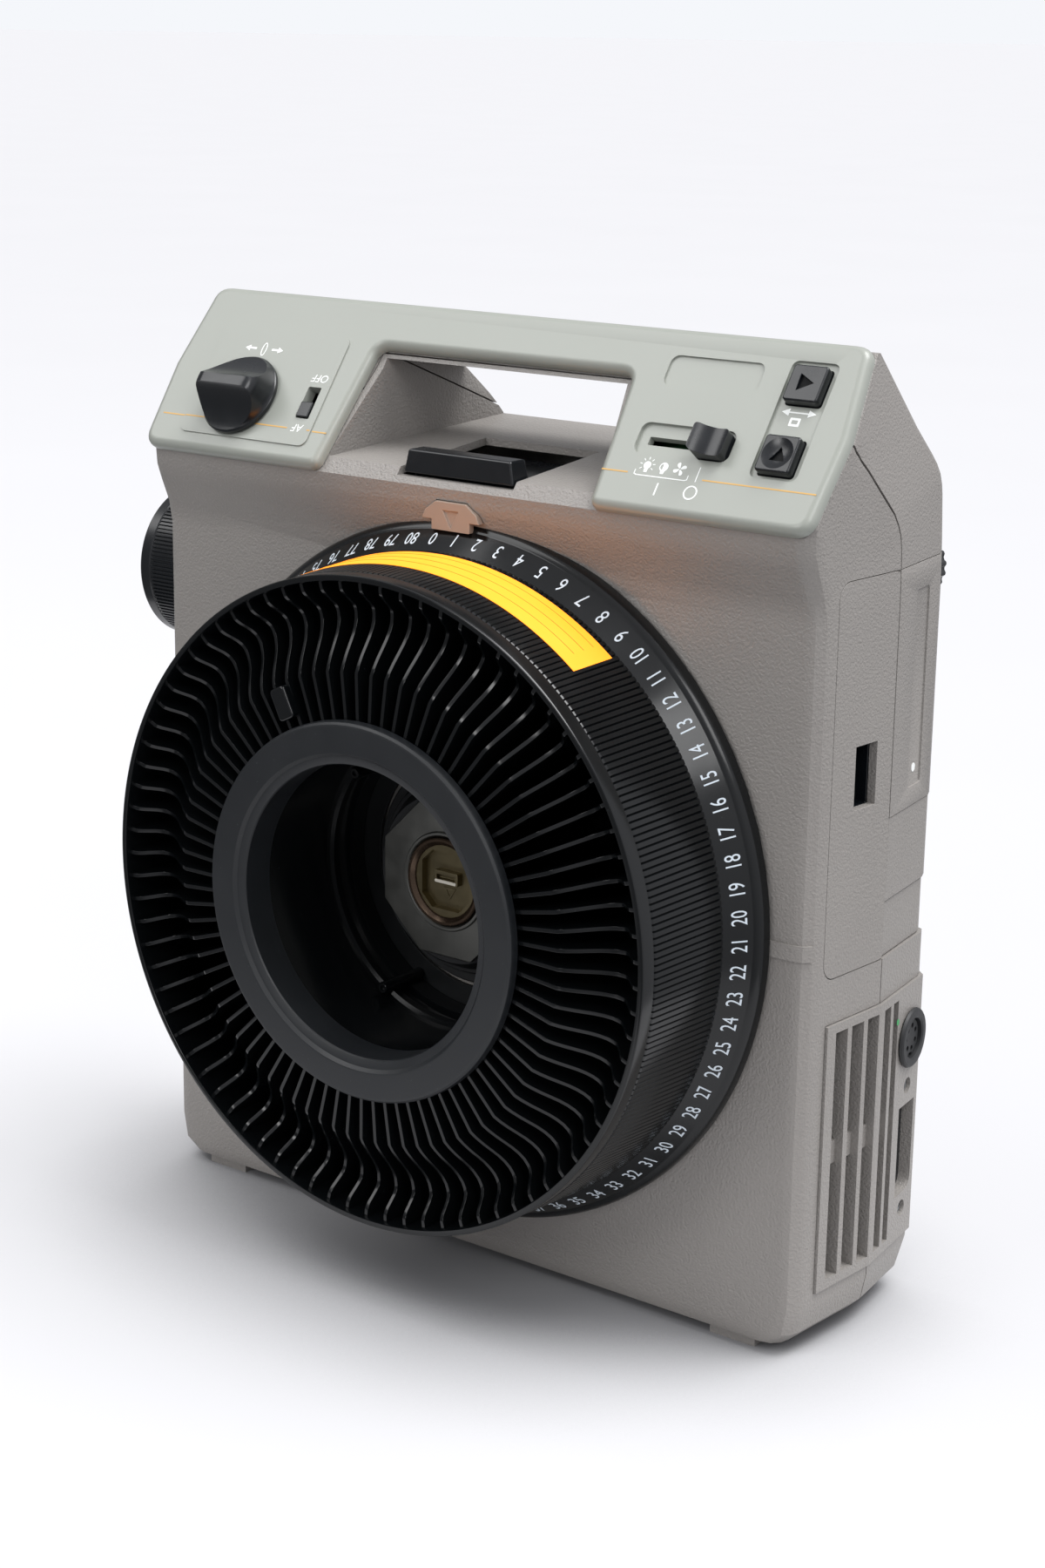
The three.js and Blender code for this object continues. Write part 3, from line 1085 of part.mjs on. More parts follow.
addPiece(root, 'lamp_socket', joined(
  block(socketX, socketX + lampSocket.length, lensAxis.y - lampSocket.half, lensAxis.y + lampSocket.half,
    lensAxis.z - lampSocket.half, lensAxis.z + lampSocket.half),
  block(socketX, socketX + lampSocket.foot, lensAxis.y - lampSocket.half,
    chassisBackY - chassis.sheet - clearance, lensAxis.z - lampSocket.half, lensAxis.z + lampSocket.half),
), finishes.nylon);

// Side grille: a plate bent along the seam, with five slots and the sockets' openings
function sideX(y) {
  return bodyCentreX + halfWidthAt(y, grille.bottomZ);
}
const grilleEndY = baseY - clearance;
const grilleStartY = grille.frontY + clearance;
const grilleInnerY = baseY - wall;
const grilleCorner = cornerRadius.back / 2;
const grillePlan = outline([
  ...[grilleStartY, seamY, grilleInnerY].map((y) => [sideX(y) - grille.thick, y]),
  [rightInnerX + clearance, grilleInnerY], [rightInnerX + clearance, grilleEndY],
  [sideX(grilleEndY) + grille.proud - grilleCorner, grilleEndY],
  ...[grilleEndY - grilleCorner, seamY, grilleStartY].map((y) => [sideX(y) + grille.proud, y]),
]);
const grilleLowZ = grille.bottomZ + clearance;
const grilleHighZ = grille.topZ - clearance;
const grilleSlots = grille.slotEdges.flatMap(([y0, y1]) => {
  const middle = THREE.MathUtils.lerp(grille.slotLowZ, grille.slotHighZ, 0.5);
  const outX = bodyCentreX + sideReach;
  return [
    block(rightInnerX - wall, outX, y0, y1, grille.slotLowZ, middle - grille.barHalf),
    block(rightInnerX - wall, outX, y0, y1, middle + grille.barHalf, grille.slotHighZ),
    block(sideX(y1) - grille.thick + grille.barThick, outX, y0, y1, grille.slotLowZ, grille.slotHighZ),
  ];
});

// The rear half of the right side has its own frame: X out of the face, Y along it from the seam
const rearSideGroup = new THREE.Group();
rearSideGroup.position.set(bodyCentreX + bodyHalfWidth, seamY, 0);
rearSideGroup.rotation.z = Math.atan(backLeanShare);
rearSideGroup.updateMatrixWorld();
root.add(rearSideGroup);
function inRearSide(geometry) {
  return toSolid(geometry.clone().applyMatrix4(rearSideGroup.matrixWorld));
}
function roundInSide(radius, x0, x1, y, z, sides) {
  const geometry = new THREE.CylinderGeometry(radius, radius, x1 - x0, sides);
  geometry.rotateZ(Math.PI / 2);
  geometry.translate((x0 + x1) / 2, y, z);
  return geometry;
}
function outletOutline(grow) {
  const low = outlet.lowZ - grow;
  const high = outlet.highZ + grow;
  const near = outlet.nearY - grow;
  const far = outlet.farY + grow;
  const round = outlet.round + grow;
  const shape = new THREE.Shape();
  shape.moveTo(near, low);
  shape.lineTo(far - round, low);
  shape.quadraticCurveTo(far, low, far, low + round);
  shape.lineTo(far, high);
  shape.lineTo(near, high);
  return shape;
}
function outletGeometry(grow, x0, x1) {
  const geometry = extruded(outletOutline(grow), x1 - x0);
  const turn = new THREE.Matrix4().makeBasis(
    new THREE.Vector3(0, 1, 0), new THREE.Vector3(0, 0, 1), new THREE.Vector3(1, 0, 0));
  geometry.applyMatrix4(turn);
  geometry.translate(x0, 0, 0);
  return geometry;
}
const screwHoles = remote.screwZ.map((z) => inRearSide(
  roundInSide(remote.screwRadius + clearance, -overrun, overrun, remote.y, z, 20)));
addPiece(root, 'side_grille', cut(
  alongZ(grillePlan, grilleLowZ, grilleHighZ),
  ...grilleSlots,
  inRearSide(outletGeometry(clearance, -overrun, overrun)),
  inRearSide(roundInSide(remote.bodyRadius + clearance, -overrun, overrun, remote.y, remote.z, 32)),
  ...screwHoles,
), finishes.housing);

const plateFaceX = grille.proud + clearance;
addPiece(rearSideGroup, 'remote_socket', cut(
  joined(
    toSolid(roundInSide(remote.bodyRadius, -remote.depth, plateFaceX, remote.y, remote.z, 32)),
    toSolid(roundInSide(remote.ringRadius, plateFaceX, plateFaceX + remote.ringThick, remote.y, remote.z,
      32)),
  ),
  toSolid(roundInSide(remote.pinRadius + clearance, -remote.depth + wall, overrun, remote.y, remote.z, 32)),
), finishes.darkPlastic);
const pinHoles = [];
for (let i = 0; i < remote.pins; i += 1) {
  const angle = (i + 0.5) * 2 * Math.PI / remote.pins;
  const reach = remote.pinRadius * remote.pinShare;
  pinHoles.push(toSolid(roundInSide(remote.pinHole, 0, overrun, remote.y + reach * Math.cos(angle),
    remote.z + reach * Math.sin(angle), outlet.holeSides)));
}
addPiece(rearSideGroup, 'remote_socket_pins', cut(
  toSolid(roundInSide(remote.pinRadius, -remote.depth + wall + clearance, plateFaceX, remote.y, remote.z,
    28)),
  ...pinHoles,
), finishes.black);

const outletHoles = [];
for (let row = 0; row < outlet.rows; row += 1) {
  for (const column of [-1, 1]) {
    const y = THREE.MathUtils.lerp(outlet.nearY, outlet.farY, 0.5) + column * outlet.columnHalf;
    const z = THREE.MathUtils.lerp(outlet.lowZ + outlet.round, outlet.highZ - outlet.round,
      row / (outlet.rows - 1));
    outletHoles.push(toSolid(roundInSide(outlet.hole, -outlet.sink - wall, overrun, y, z,
      outlet.holeSides)));
  }
}
addPiece(rearSideGroup, 'accessory_outlet', cut(
  toSolid(outletGeometry(0, -outlet.depth, -outlet.sink)), ...outletHoles), finishes.black);
remote.screwZ.forEach((z, i) => {
  addPiece(rearSideGroup, `grille_screw_${i + 1}`, cut(
    toSolid(roundInSide(remote.screwRadius, -grille.thick, grille.proud - remote.screwSink, remote.y, z,
      20)),
    toSolid(new THREE.BoxGeometry(wall, remote.screwRadius, remote.screwSink)
      .translate(grille.proud - remote.screwSink, remote.y, z)),
  ), finishes.steel);
});

// Cooling fan, its shroud, and the motor that also drives the slide change
addPiece(root, 'fan_shroud', cut(
  block(fan.shroudLeftX, fan.shroudRightX, seatY, baseSeatY, fan.z - fan.shroudHalf, fan.z + fan.shroudHalf),
  cylinderX(fan.bladeRadius + 2 * clearance, fan.shroudLeftX - wall, fan.shroudRightX + wall, fan.y, fan.z,
    40),
), finishes.darkPlastic);
let rotor = cylinderX(fan.hubRadius, fan.backX, fan.frontX, fan.y, fan.z, 28);
for (let i = 0; i < fan.blades; i += 1) {
  const blade = new THREE.BoxGeometry(fan.bladeThick, fan.bladeChord, fan.bladeRadius - fan.hubRadius / 2);
  blade.translate(0, 0, (fan.bladeRadius + fan.hubRadius / 2) / 2 - clearance * 2);
  blade.rotateZ(fan.bladePitch);
  blade.rotateX(i * 2 * Math.PI / fan.blades);
  blade.translate((fan.backX + fan.frontX) / 2, fan.y, fan.z);
  rotor = rotor.add(toSolid(blade));
}
rotor = rotor.intersect(cylinderX(fan.bladeRadius, fan.backX - wall, fan.frontX + wall, fan.y, fan.z, 40));
rotor = cut(rotor, cylinderX(motor.shaftRadius + clearance, fan.backX - wall, fan.frontX - wall, fan.y,
  fan.z, 20));
addPiece(root, 'fan_rotor', rotor, finishes.darkPlastic);
addPiece(root, 'drive_motor', cut(
  joined(
    cylinderX(motor.radius, motor.leftX, motor.rightX, fan.y, fan.z, 28),
    cylinderX(motor.radius * motor.bossShare, motor.leftX - wall, motor.rightX + wall, fan.y, fan.z, 20),
  ),
  cylinderX(motor.shaftRadius + clearance, motor.leftX - overrun, motor.rightX + overrun, fan.y, fan.z, 20),
), finishes.steel);
addPiece(root, 'motor_bracket', cut(
  block(motor.leftX + wall, motor.rightX - wall, fan.y + motor.radius * motor.bossShare, baseSeatY,
    fan.z - motor.radius, fan.z + motor.radius),
  cylinderX(motor.radius + clearance, motor.leftX - wall, motor.rightX + wall, fan.y, fan.z, 40),
), finishes.zinc);
addPiece(root, 'motor_shaft', joined(
  cylinderX(motor.shaftRadius, motor.shaftLeftX, fan.frontX - wall - clearance, fan.y, fan.z, 20),
  cylinderX(motor.wormRadius, motor.wormX - motor.wormLength / 2, motor.wormX + motor.wormLength / 2, fan.y,
    fan.z, 20),
), finishes.steel);

// Cycle gear turned by the worm, on its own post
const gearZ = fan.z + motor.wormRadius + clearance + cycleGear.radius;
const gearPoints = gearOutline(cycleGear.radius, cycleGear.toothDepth, cycleGear.teeth)
  .map(([x, z]) => [motor.wormX + x, gearZ + z]);
addPiece(root, 'cycle_gear', cut(
  alongY(outline(gearPoints), fan.y - cycleGear.thick / 2, fan.y + cycleGear.thick / 2),
  cylinderY(cycleGear.postRadius + clearance, 0, baseY, motor.wormX, gearZ, 20),
), finishes.nylon);
addPiece(root, 'cycle_gear_post', joined(
  cylinderY(cycleGear.postRadius, seatY, fan.y + cycleGear.thick, motor.wormX, gearZ, 20),
  cylinderY(cycleGear.postRadius * 2, seatY, fan.y - cycleGear.thick / 2 - clearance, motor.wormX, gearZ,
    20),
), finishes.steel);

// Transformer and main circuit board on the base
addPiece(root, 'transformer', joined(
  block(supply.coreLeftX, supply.coreLeftX + supply.coreWidth, baseSeatY - supply.coreDepth, baseSeatY,
    supply.lowZ, supply.lowZ + supply.coreHeight),
  block(supply.coreLeftX - supply.coilProud, supply.coreLeftX + supply.coreWidth + supply.coilProud,
    baseSeatY - supply.coreDepth + supply.coilProud, baseSeatY - supply.coilProud,
    supply.lowZ + supply.coilProud, supply.lowZ + supply.coreHeight - supply.coilProud),
), finishes.copper);
const boardPostPlaces = [supply.boardLeftX, supply.boardRightX - supply.post].flatMap((x) => (
  [supply.lowZ, supply.boardTopZ - supply.post].map((z) => [x, z])));
addPiece(root, 'main_circuit_board', joined(
  block(supply.boardLeftX, supply.boardRightX, baseSeatY - supply.standoff - supply.boardThick,
    baseSeatY - supply.standoff, supply.lowZ, supply.boardTopZ),
  ...boardPostPlaces.map(([x, z]) => block(x, x + supply.post,
    baseSeatY - supply.standoff - supply.boardThick, baseSeatY, z, z + supply.post)),
  block(supply.boardLeftX + supply.post * 2, supply.boardLeftX + supply.post * 5,
    baseSeatY - supply.standoff - supply.boardThick - supply.partHeight, baseSeatY - supply.standoff,
    supply.lowZ + supply.post * 2, supply.lowZ + supply.post * 5),
  cylinderY(supply.post, baseSeatY - supply.standoff - supply.boardThick - supply.partHeight * 2,
    baseSeatY - supply.standoff, supply.boardRightX - supply.post * 3, supply.boardTopZ - supply.post * 3,
    20),
), finishes.board);

// Feet on the base: three fixed, one on a screw, one that drops to tilt the lens up
baseFeet.places.forEach(([x, z], i) => {
  const geometry = new THREE.CylinderGeometry(baseFeet.topRadius, baseFeet.radius,
    baseFeet.height - clearance, 28);
  geometry.translate(x, baseY + (baseFeet.height + clearance) / 2, z);
  addPiece(root, `base_foot_${i + 1}`, toSolid(geometry), finishes.rubber);
});
const wheelPoints = gearOutline(leveller.radius, leveller.knurl, leveller.knurls)
  .map(([x, z]) => [leveller.x + x, leveller.z + z]);
addPiece(root, 'levelling_wheel', joined(
  alongY(outline(wheelPoints), leveller.wheelY, leveller.wheelY + leveller.thick),
  cylinderY(leveller.stemRadius, baseY - wall + clearance, leveller.wheelY + leveller.thick, leveller.x,
    leveller.z, 20),
  cylinderY(leveller.padRadius, leveller.wheelY, baseY + baseFeet.height, leveller.x, leveller.z, 24),
), finishes.black);

const guideOuter = elevation.postRadius + wall;
addPiece(root, 'elevation_guide', cut(
  block(elevation.x - guideOuter, elevation.x + guideOuter, elevation.postTopY, baseSeatY,
    elevation.z - guideOuter, elevation.z + guideOuter),
  cylinderY(elevation.postRadius + clearance, 0, baseY, elevation.x, elevation.z, 28),
), finishes.darkPlastic);
addPiece(root, 'elevation_foot', joined(
  cylinderY(elevation.postRadius, elevation.postTopY, baseY + elevation.padGap, elevation.x, elevation.z,
    28),
  cylinderY(elevation.padRadius, baseY + elevation.padGap, baseY + baseFeet.height - wall / 2, elevation.x,
    elevation.z, 28),
), finishes.darkPlastic);
const buttonFaceX = bodyCentreX - bodyHalfWidth - elevation.buttonProud;
addPiece(root, 'elevation_release', cylinderX(elevation.buttonRadius, buttonFaceX,
  elevation.x - guideOuter - elevation.buttonTravel - clearance, elevation.buttonY, elevation.z, 24),
finishes.black);

// Gland for the mains lead in the base
addPiece(root, 'cord_gland', turned([
  [gland.bore, -gland.inside], [gland.radius, -gland.inside], [gland.radius, clearance],
  [gland.flange, clearance], [gland.flange, gland.outside / 2], [gland.bore + wall / 2, gland.outside],
  [gland.bore, gland.outside],
], 18, 0, gland.x, baseY, gland.z), finishes.rubber);

// The origin is under the middle of the whole projector, on the surface that it stands on
root.updateMatrixWorld(true);
const bounds = new THREE.Box3().setFromObject(root);
root.position.set(-(bounds.min.x + bounds.max.x) / 2, -(bounds.min.y + bounds.max.y) / 2, -bounds.min.z);
root.updateMatrixWorld(true);
export default root;
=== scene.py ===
import json
import math

import bpy
from mathutils import Matrix, Vector


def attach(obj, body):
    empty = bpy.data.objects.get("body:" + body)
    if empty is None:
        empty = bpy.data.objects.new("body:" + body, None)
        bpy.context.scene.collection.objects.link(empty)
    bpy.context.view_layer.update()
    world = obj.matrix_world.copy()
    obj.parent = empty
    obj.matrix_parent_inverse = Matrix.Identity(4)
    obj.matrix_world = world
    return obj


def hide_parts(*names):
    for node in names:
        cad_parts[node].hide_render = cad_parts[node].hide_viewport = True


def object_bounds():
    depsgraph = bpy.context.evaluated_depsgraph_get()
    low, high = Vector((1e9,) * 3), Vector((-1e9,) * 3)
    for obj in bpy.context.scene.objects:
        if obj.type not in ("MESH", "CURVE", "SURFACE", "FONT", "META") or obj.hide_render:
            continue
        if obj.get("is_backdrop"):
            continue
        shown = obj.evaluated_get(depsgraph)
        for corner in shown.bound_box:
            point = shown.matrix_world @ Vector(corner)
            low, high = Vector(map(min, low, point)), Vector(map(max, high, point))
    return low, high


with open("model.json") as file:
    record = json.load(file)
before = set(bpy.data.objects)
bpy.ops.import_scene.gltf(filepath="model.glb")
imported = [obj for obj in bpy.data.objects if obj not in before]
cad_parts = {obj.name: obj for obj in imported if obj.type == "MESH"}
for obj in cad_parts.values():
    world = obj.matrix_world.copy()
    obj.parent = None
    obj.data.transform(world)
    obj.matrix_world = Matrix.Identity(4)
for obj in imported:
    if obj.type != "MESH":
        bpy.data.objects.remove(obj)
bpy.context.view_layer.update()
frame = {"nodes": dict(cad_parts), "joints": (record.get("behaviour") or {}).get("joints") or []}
print("frame loaded:", len(frame["nodes"]), "CAD nodes")

mm = 0.001
degree = math.radians(1)

# Work benches: X to the right, Y up and Z out of a face, in metres, at a point given in millimetres
# from the tray's axis (X), the deck (Y) and the table (Z)
joints = {joint["name"]: joint for joint in frame["joints"]}
trayX, deckY, trayZ = joints["tray_turn"]["pos_m"]


def benchAt(origin, right, up):
    right = Vector(right).normalized()
    up = Vector(up).normalized()
    bench = Matrix((right, up, right.cross(up))).transposed().to_4x4()
    bench.translation = Vector((trayX + origin[0] * mm, deckY + origin[1] * mm, origin[2] * mm))
    return bench


panelLean = 36.3 * degree
sideLean = math.atan(0.128)  # the right side turns inwards by 12.8 mm in 100
benches = {
    "tray": benchAt((0, 0, trayZ / mm), (1, 0, 0), (0, 0, 1)),
    "panel": benchAt((0, -6.8, 279.6), (1, 0, 0), (0, math.sin(panelLean), math.cos(panelLean))),
    "lens": benchAt((0, 42, 226), (0, -1, 0), (0, 0, 1)),
    "rearSide": benchAt((140.3, 41.6, 0), (-math.sin(sideLean), math.cos(sideLean), 0), (0, 0, 1)),
    "plan": benchAt((0, 0, 0), (1, 0, 0), (0, 1, 0)),
}


# Materials: hex colours as on screen, pattern sizes in millimetres
def colour(hexText):
    channels = [int(hexText[i:i + 2], 16) / 255 for i in (1, 3, 5)]
    return tuple(c / 12.92 if c <= 0.04045 else ((c + 0.055) / 1.055) ** 2.4 for c in channels) + (1,)


def addNode(material, kind, settings, links=None):
    node = material.node_tree.nodes.new(kind)
    for name, value in settings.items():
        if isinstance(name, str) and hasattr(node, name):
            setattr(node, name, value)
        else:
            node.inputs[name].default_value = value
    for name, source in (links or {}).items():
        material.node_tree.links.new(source, node.inputs[name])
    return node


def newMaterial(name, settings):
    material = bpy.data.materials.new(name)
    material.use_nodes = True
    shader = material.node_tree.nodes["Principled BSDF"]
    for socket, value in settings.items():
        shader.inputs[socket].default_value = value
    where = addNode(material, "ShaderNodeTexCoord", {}).outputs["Object"]
    return material, shader, where


def connect(material, source, shader, socket):
    material.node_tree.links.new(source, shader.inputs[socket])


# A plastic or painted face: two close colours in soft clouds, a grain in the surface and uneven gloss
def surfaceFinish(name, look):
    material, shader, where = newMaterial(name, look["shader"])
    clouds = addNode(material, "ShaderNodeTexNoise",
                     {"Scale": 1000 / look["cloudMm"], "Detail": 4, "Roughness": 0.6}, {"Vector": where})
    first, second = (colour(hexText) for hexText in look["colours"])
    tint = addNode(material, "ShaderNodeMix", {"data_type": "RGBA", 6: first, 7: second},
                   {0: clouds.outputs["Fac"]})
    grain = addNode(material, "ShaderNodeTexNoise",
                    {"Scale": 1000 / look["grainMm"], "Detail": look.get("grainDetail", 2), "Roughness": 0.5,
                     "Distortion": look.get("grainWarp", 0)}, {"Vector": where})
    colourOut = tint.outputs[2]
    if "speckHex" in look:  # dust and tiny scratches, lighter than the plastic
        dust = addNode(material, "ShaderNodeTexNoise", {"Scale": 1000 / look["speckMm"], "Detail": 2},
                       {"Vector": where})
        few = addNode(material, "ShaderNodeMapRange",
                      {"From Min": look["speckFrom"], "From Max": look["speckFrom"] + 0.08, "To Max": 0.5},
                      {"Value": dust.outputs["Fac"]})
        dusty = addNode(material, "ShaderNodeMix", {"data_type": "RGBA", 7: colour(look["speckHex"])},
                        {0: few.outputs["Result"], 6: colourOut})
        colourOut = dusty.outputs[2]
    connect(material, colourOut, shader, "Base Color")
    smooth, rough = look["gloss"]
    gloss = addNode(material, "ShaderNodeMapRange",
                    {"From Min": 0.3, "From Max": 0.7, "To Min": smooth, "To Max": rough},
                    {"Value": clouds.outputs["Fac"]})
    connect(material, gloss.outputs["Result"], shader, "Roughness")
    bump = addNode(material, "ShaderNodeBump", {"Strength": look["bump"], "Distance": look["bumpMm"] * mm},
                   {"Height": grain.outputs["Fac"]})
    connect(material, bump.outputs["Normal"], shader, "Normal")
    return material


finishes = {
    # ABS moulded in a spark-eroded tool: a soft leathery grain of about 1 mm breaks up every highlight
    "texturedAbs": surfaceFinish("moulded_abs_textured_taupe", {
        "shader": {"IOR": 1.53, "Specular IOR Level": 0.45},
        "colours": ("#86827e", "#8e8a86"), "cloudMm": 60, "grainMm": 0.9, "grainDetail": 1, "grainWarp": 0.3,
        "gloss": (0.36, 0.46), "bump": 1.0, "bumpMm": 0.32}),
    # ABS with a fine matt grain, nearly smooth to the eye, with a soft sheen
    "panelAbs": surfaceFinish("moulded_abs_satin_grey_green", {
        "shader": {"IOR": 1.53, "Specular IOR Level": 0.5},
        "colours": ("#90938c", "#969992"), "cloudMm": 45, "grainMm": 0.35,
        "gloss": (0.28, 0.36), "bump": 0.15, "bumpMm": 0.04}),
    # ABS of the pointer and trim, slightly browner than the housing
    "pointerAbs": surfaceFinish("moulded_abs_tan", {
        "shader": {"IOR": 1.53}, "colours": ("#978577", "#9f8d80"), "cloudMm": 20, "grainMm": 0.5,
        "gloss": (0.45, 0.55), "bump": 0.12, "bumpMm": 0.05}),
    # Polished black ABS of the controls: deep black with clear soft highlights
    "controlAbs": surfaceFinish("moulded_abs_black_satin", {
        "shader": {"IOR": 1.53},
        "colours": ("#0c0f12", "#101317"), "cloudMm": 15, "grainMm": 0.3,
        "gloss": (0.2, 0.3), "bump": 0.1, "bumpMm": 0.03}),
    # The floor of the buttons' arrowheads, etched dull by the mould, and coloured darker than the caps:
    # painted shade in the sunk arrowheads
    "etchedShadedAbs": surfaceFinish("etched_abs_black_painted_shade", {
        "shader": {"IOR": 1.53, "Specular IOR Level": 0.2}, "colours": ("#030405", "#050607"), "cloudMm": 8,
        "grainMm": 0.3, "gloss": (0.6, 0.7), "bump": 0.1, "bumpMm": 0.02}),
    # Injection-moulded black polystyrene of the tray: glossy edges and a little dust
    "trayPolystyrene": surfaceFinish("moulded_polystyrene_black", {
        "shader": {"IOR": 1.59, "Specular IOR Level": 0.32},
        "colours": ("#07090a", "#0b0d0f"), "cloudMm": 30, "grainMm": 0.6,
        "gloss": (0.14, 0.24), "bump": 0.1, "bumpMm": 0.02,
        "speckHex": "#4a4e52", "speckMm": 0.9, "speckFrom": 0.74}),
    # The lock ring is the same plastic with a fine etched face: dull dark grey
    "ringPolystyrene": surfaceFinish("etched_polystyrene_black", {
        "shader": {"IOR": 1.59, "Specular IOR Level": 0.4},
        "colours": ("#101316", "#14171b"), "cloudMm": 25, "grainMm": 0.4,
        "gloss": (0.42, 0.52), "bump": 0.25, "bumpMm": 0.05,
        "speckHex": "#5a5f63", "speckMm": 0.8, "speckFrom": 0.72}),
    # Dark grey glass-filled plastic of inner parts: dull, slightly mottled
    "darkPlastic": surfaceFinish("moulded_glass_filled_nylon_dark", {
        "shader": {"IOR": 1.53}, "colours": ("#17181a", "#1f2022"), "cloudMm": 10, "grainMm": 0.5,
        "gloss": (0.45, 0.6), "bump": 0.15, "bumpMm": 0.05}),
    # Moulded rubber: near black, no shine
    "rubber": surfaceFinish("moulded_rubber_black", {
        "shader": {"IOR": 1.52, "Specular IOR Level": 0.3}, "colours": ("#141414", "#1b1b1b"), "cloudMm": 8,
        "grainMm": 0.4, "gloss": (0.7, 0.85), "bump": 0.2, "bumpMm": 0.05}),
    # Zinc plated sheet: grey metal with faint cloudy patches
    "zincPlate": surfaceFinish("zinc_plated_steel_sheet", {
        "shader": {"Metallic": 1.0}, "colours": ("#8c9093", "#a2a6a8"), "cloudMm": 12, "grainMm": 0.8,
        "gloss": (0.3, 0.45), "bump": 0.08, "bumpMm": 0.03}),
    # Steel of the tray's base plate, coloured almost black: painted shade for the dark depth of the tray's
    # middle
    "shadedBasePlateSteel": surfaceFinish("steel_dark_painted_shade", {
        "shader": {"Metallic": 0.6}, "colours": ("#1a1b1c", "#242628"), "cloudMm": 10, "grainMm": 0.6,
        "gloss": (0.4, 0.55), "bump": 0.1, "bumpMm": 0.03}),
    # Turned or ground steel: bright with a fine brushed tooth
    "brightSteel": surfaceFinish("ground_steel_bright", {
        "shader": {"Metallic": 1.0}, "colours": ("#a2a3a2", "#b2b3b2"), "cloudMm": 6, "grainMm": 0.25,
        "gloss": (0.2, 0.32), "bump": 0.06, "bumpMm": 0.02}),
    # Nickelled steel that has dulled: dark grey metal
    "dullSteel": surfaceFinish("nickelled_steel_dull", {
        "shader": {"Metallic": 1.0}, "colours": ("#72726e", "#82827e"), "cloudMm": 9, "grainMm": 0.3,
        "gloss": (0.34, 0.44), "bump": 0.06, "bumpMm": 0.02}),
    # Yellow chromated steel of the release insert: olive grey metal
    "chromatedSteel": surfaceFinish("chromated_steel_olive", {
        "shader": {"Metallic": 1.0}, "colours": ("#6c634c", "#7c7259"), "cloudMm": 5, "grainMm": 0.3,
        "gloss": (0.35, 0.48), "bump": 0.08, "bumpMm": 0.03}),
    # Steel with a dark bronze finish, fairly glossy
    "bronzedSteel": surfaceFinish("bronzed_steel_dark", {
        "shader": {"Metallic": 0.8}, "colours": ("#4a3c30", "#55463a"), "cloudMm": 6, "grainMm": 0.3,
        "gloss": (0.2, 0.3), "bump": 0.06, "bumpMm": 0.02}),
    # Enamelled copper wire and a steel core: reddish brown
    "copperWinding": surfaceFinish("enamelled_copper_winding", {
        "shader": {"Metallic": 0.6}, "colours": ("#7a4023", "#9a5731"), "cloudMm": 4, "grainMm": 0.5,
        "gloss": (0.3, 0.45), "bump": 0.3, "bumpMm": 0.1}),
    # Green solder mask over fibreglass: smooth lacquer over a faint weave
    "boardLacquer": surfaceFinish("fibreglass_board_green", {
        "shader": {"IOR": 1.5}, "colours": ("#27502f", "#2f5c38"), "cloudMm": 6, "grainMm": 0.7,
        "gloss": (0.28, 0.4), "bump": 0.1, "bumpMm": 0.03}),
    # Natural nylon and steatite: milky white
    "naturalNylon": surfaceFinish("moulded_nylon_natural", {
        "shader": {"IOR": 1.53}, "colours": ("#d8d2c4", "#e2dccf"), "cloudMm": 8, "grainMm": 0.5,
        "gloss": (0.4, 0.5), "bump": 0.1, "bumpMm": 0.03}),
    # Yellow paper label under a thin varnish: warm and slightly shiny; it also glows orange, a painted glow
    # that throws the label's bounced light onto the deck
    "labelPaper": surfaceFinish("varnished_paper_yellow_painted_glow", {
        "shader": {"IOR": 1.45, "Specular IOR Level": 0.35, "Emission Color": colour("#ff8e0c"),
                   "Emission Strength": 1.3}, "colours": ("#d3862a", "#da8f32"), "cloudMm": 12,
        "grainMm": 0.4, "gloss": (0.4, 0.5), "bump": 0.08, "bumpMm": 0.03}),
}

# Printed inks and the numbers' stamped foil: matt, a few hundredths of a millimetre thick
inks = {
    "whiteInk": ("screen_ink_white", ("#e4e6e4", "#eef0ee"), 3, (0.5, 0.6)),
    "numberInk": ("hot_stamped_foil_pale_grey", ("#c6d0d9", "#d4dce3"), 3, (0.4, 0.5)),
    "goldInk": ("screen_ink_ochre", ("#c49a55", "#cda35d"), 5, (0.4, 0.5)),
    "labelInk": ("offset_ink_brown", ("#d99321", "#d08a1e"), 5, (0.5, 0.6)),
    "greenInk": ("pad_ink_green", ("#3f8f58", "#489a62"), 5, (0.4, 0.5)),
}
for ink, (name, colours, cloudMm, gloss) in inks.items():
    finishes[ink] = surfaceFinish(name, {
        "shader": {"IOR": 1.48}, "colours": colours, "cloudMm": cloudMm, "grainMm": 0.3,
        "gloss": gloss, "bump": 0.05, "bumpMm": 0.02})


# Coated optical glass: clear, with a faint violet reflection from the coating
def coatedGlass(name):
    material, shader, where = newMaterial(name, {
        "Base Color": colour("#eef2f4"), "IOR": 1.52, "Transmission Weight": 1.0, "Coat Weight": 0.6,
        "Coat Roughness": 0.03, "Coat Tint": colour("#b9a6d8")})
    smear = addNode(material, "ShaderNodeTexNoise", {"Scale": 1000 / 14, "Detail": 3}, {"Vector": where})
    haze = addNode(material, "ShaderNodeMapRange", {"To Min": 0.01, "To Max": 0.06},
                   {"Value": smear.outputs["Fac"]})
    connect(material, haze.outputs["Result"], shader, "Roughness")
    return material


finishes["coatedGlass"] = coatedGlass("coated_optical_glass")
print("materials made:", len(finishes))


# Modelling steps shared by the pieces; lengths come in millimetres
def choose(piece):
    bpy.ops.object.select_all(action="DESELECT")
    piece.select_set(True)
    bpy.context.view_layer.objects.active = piece


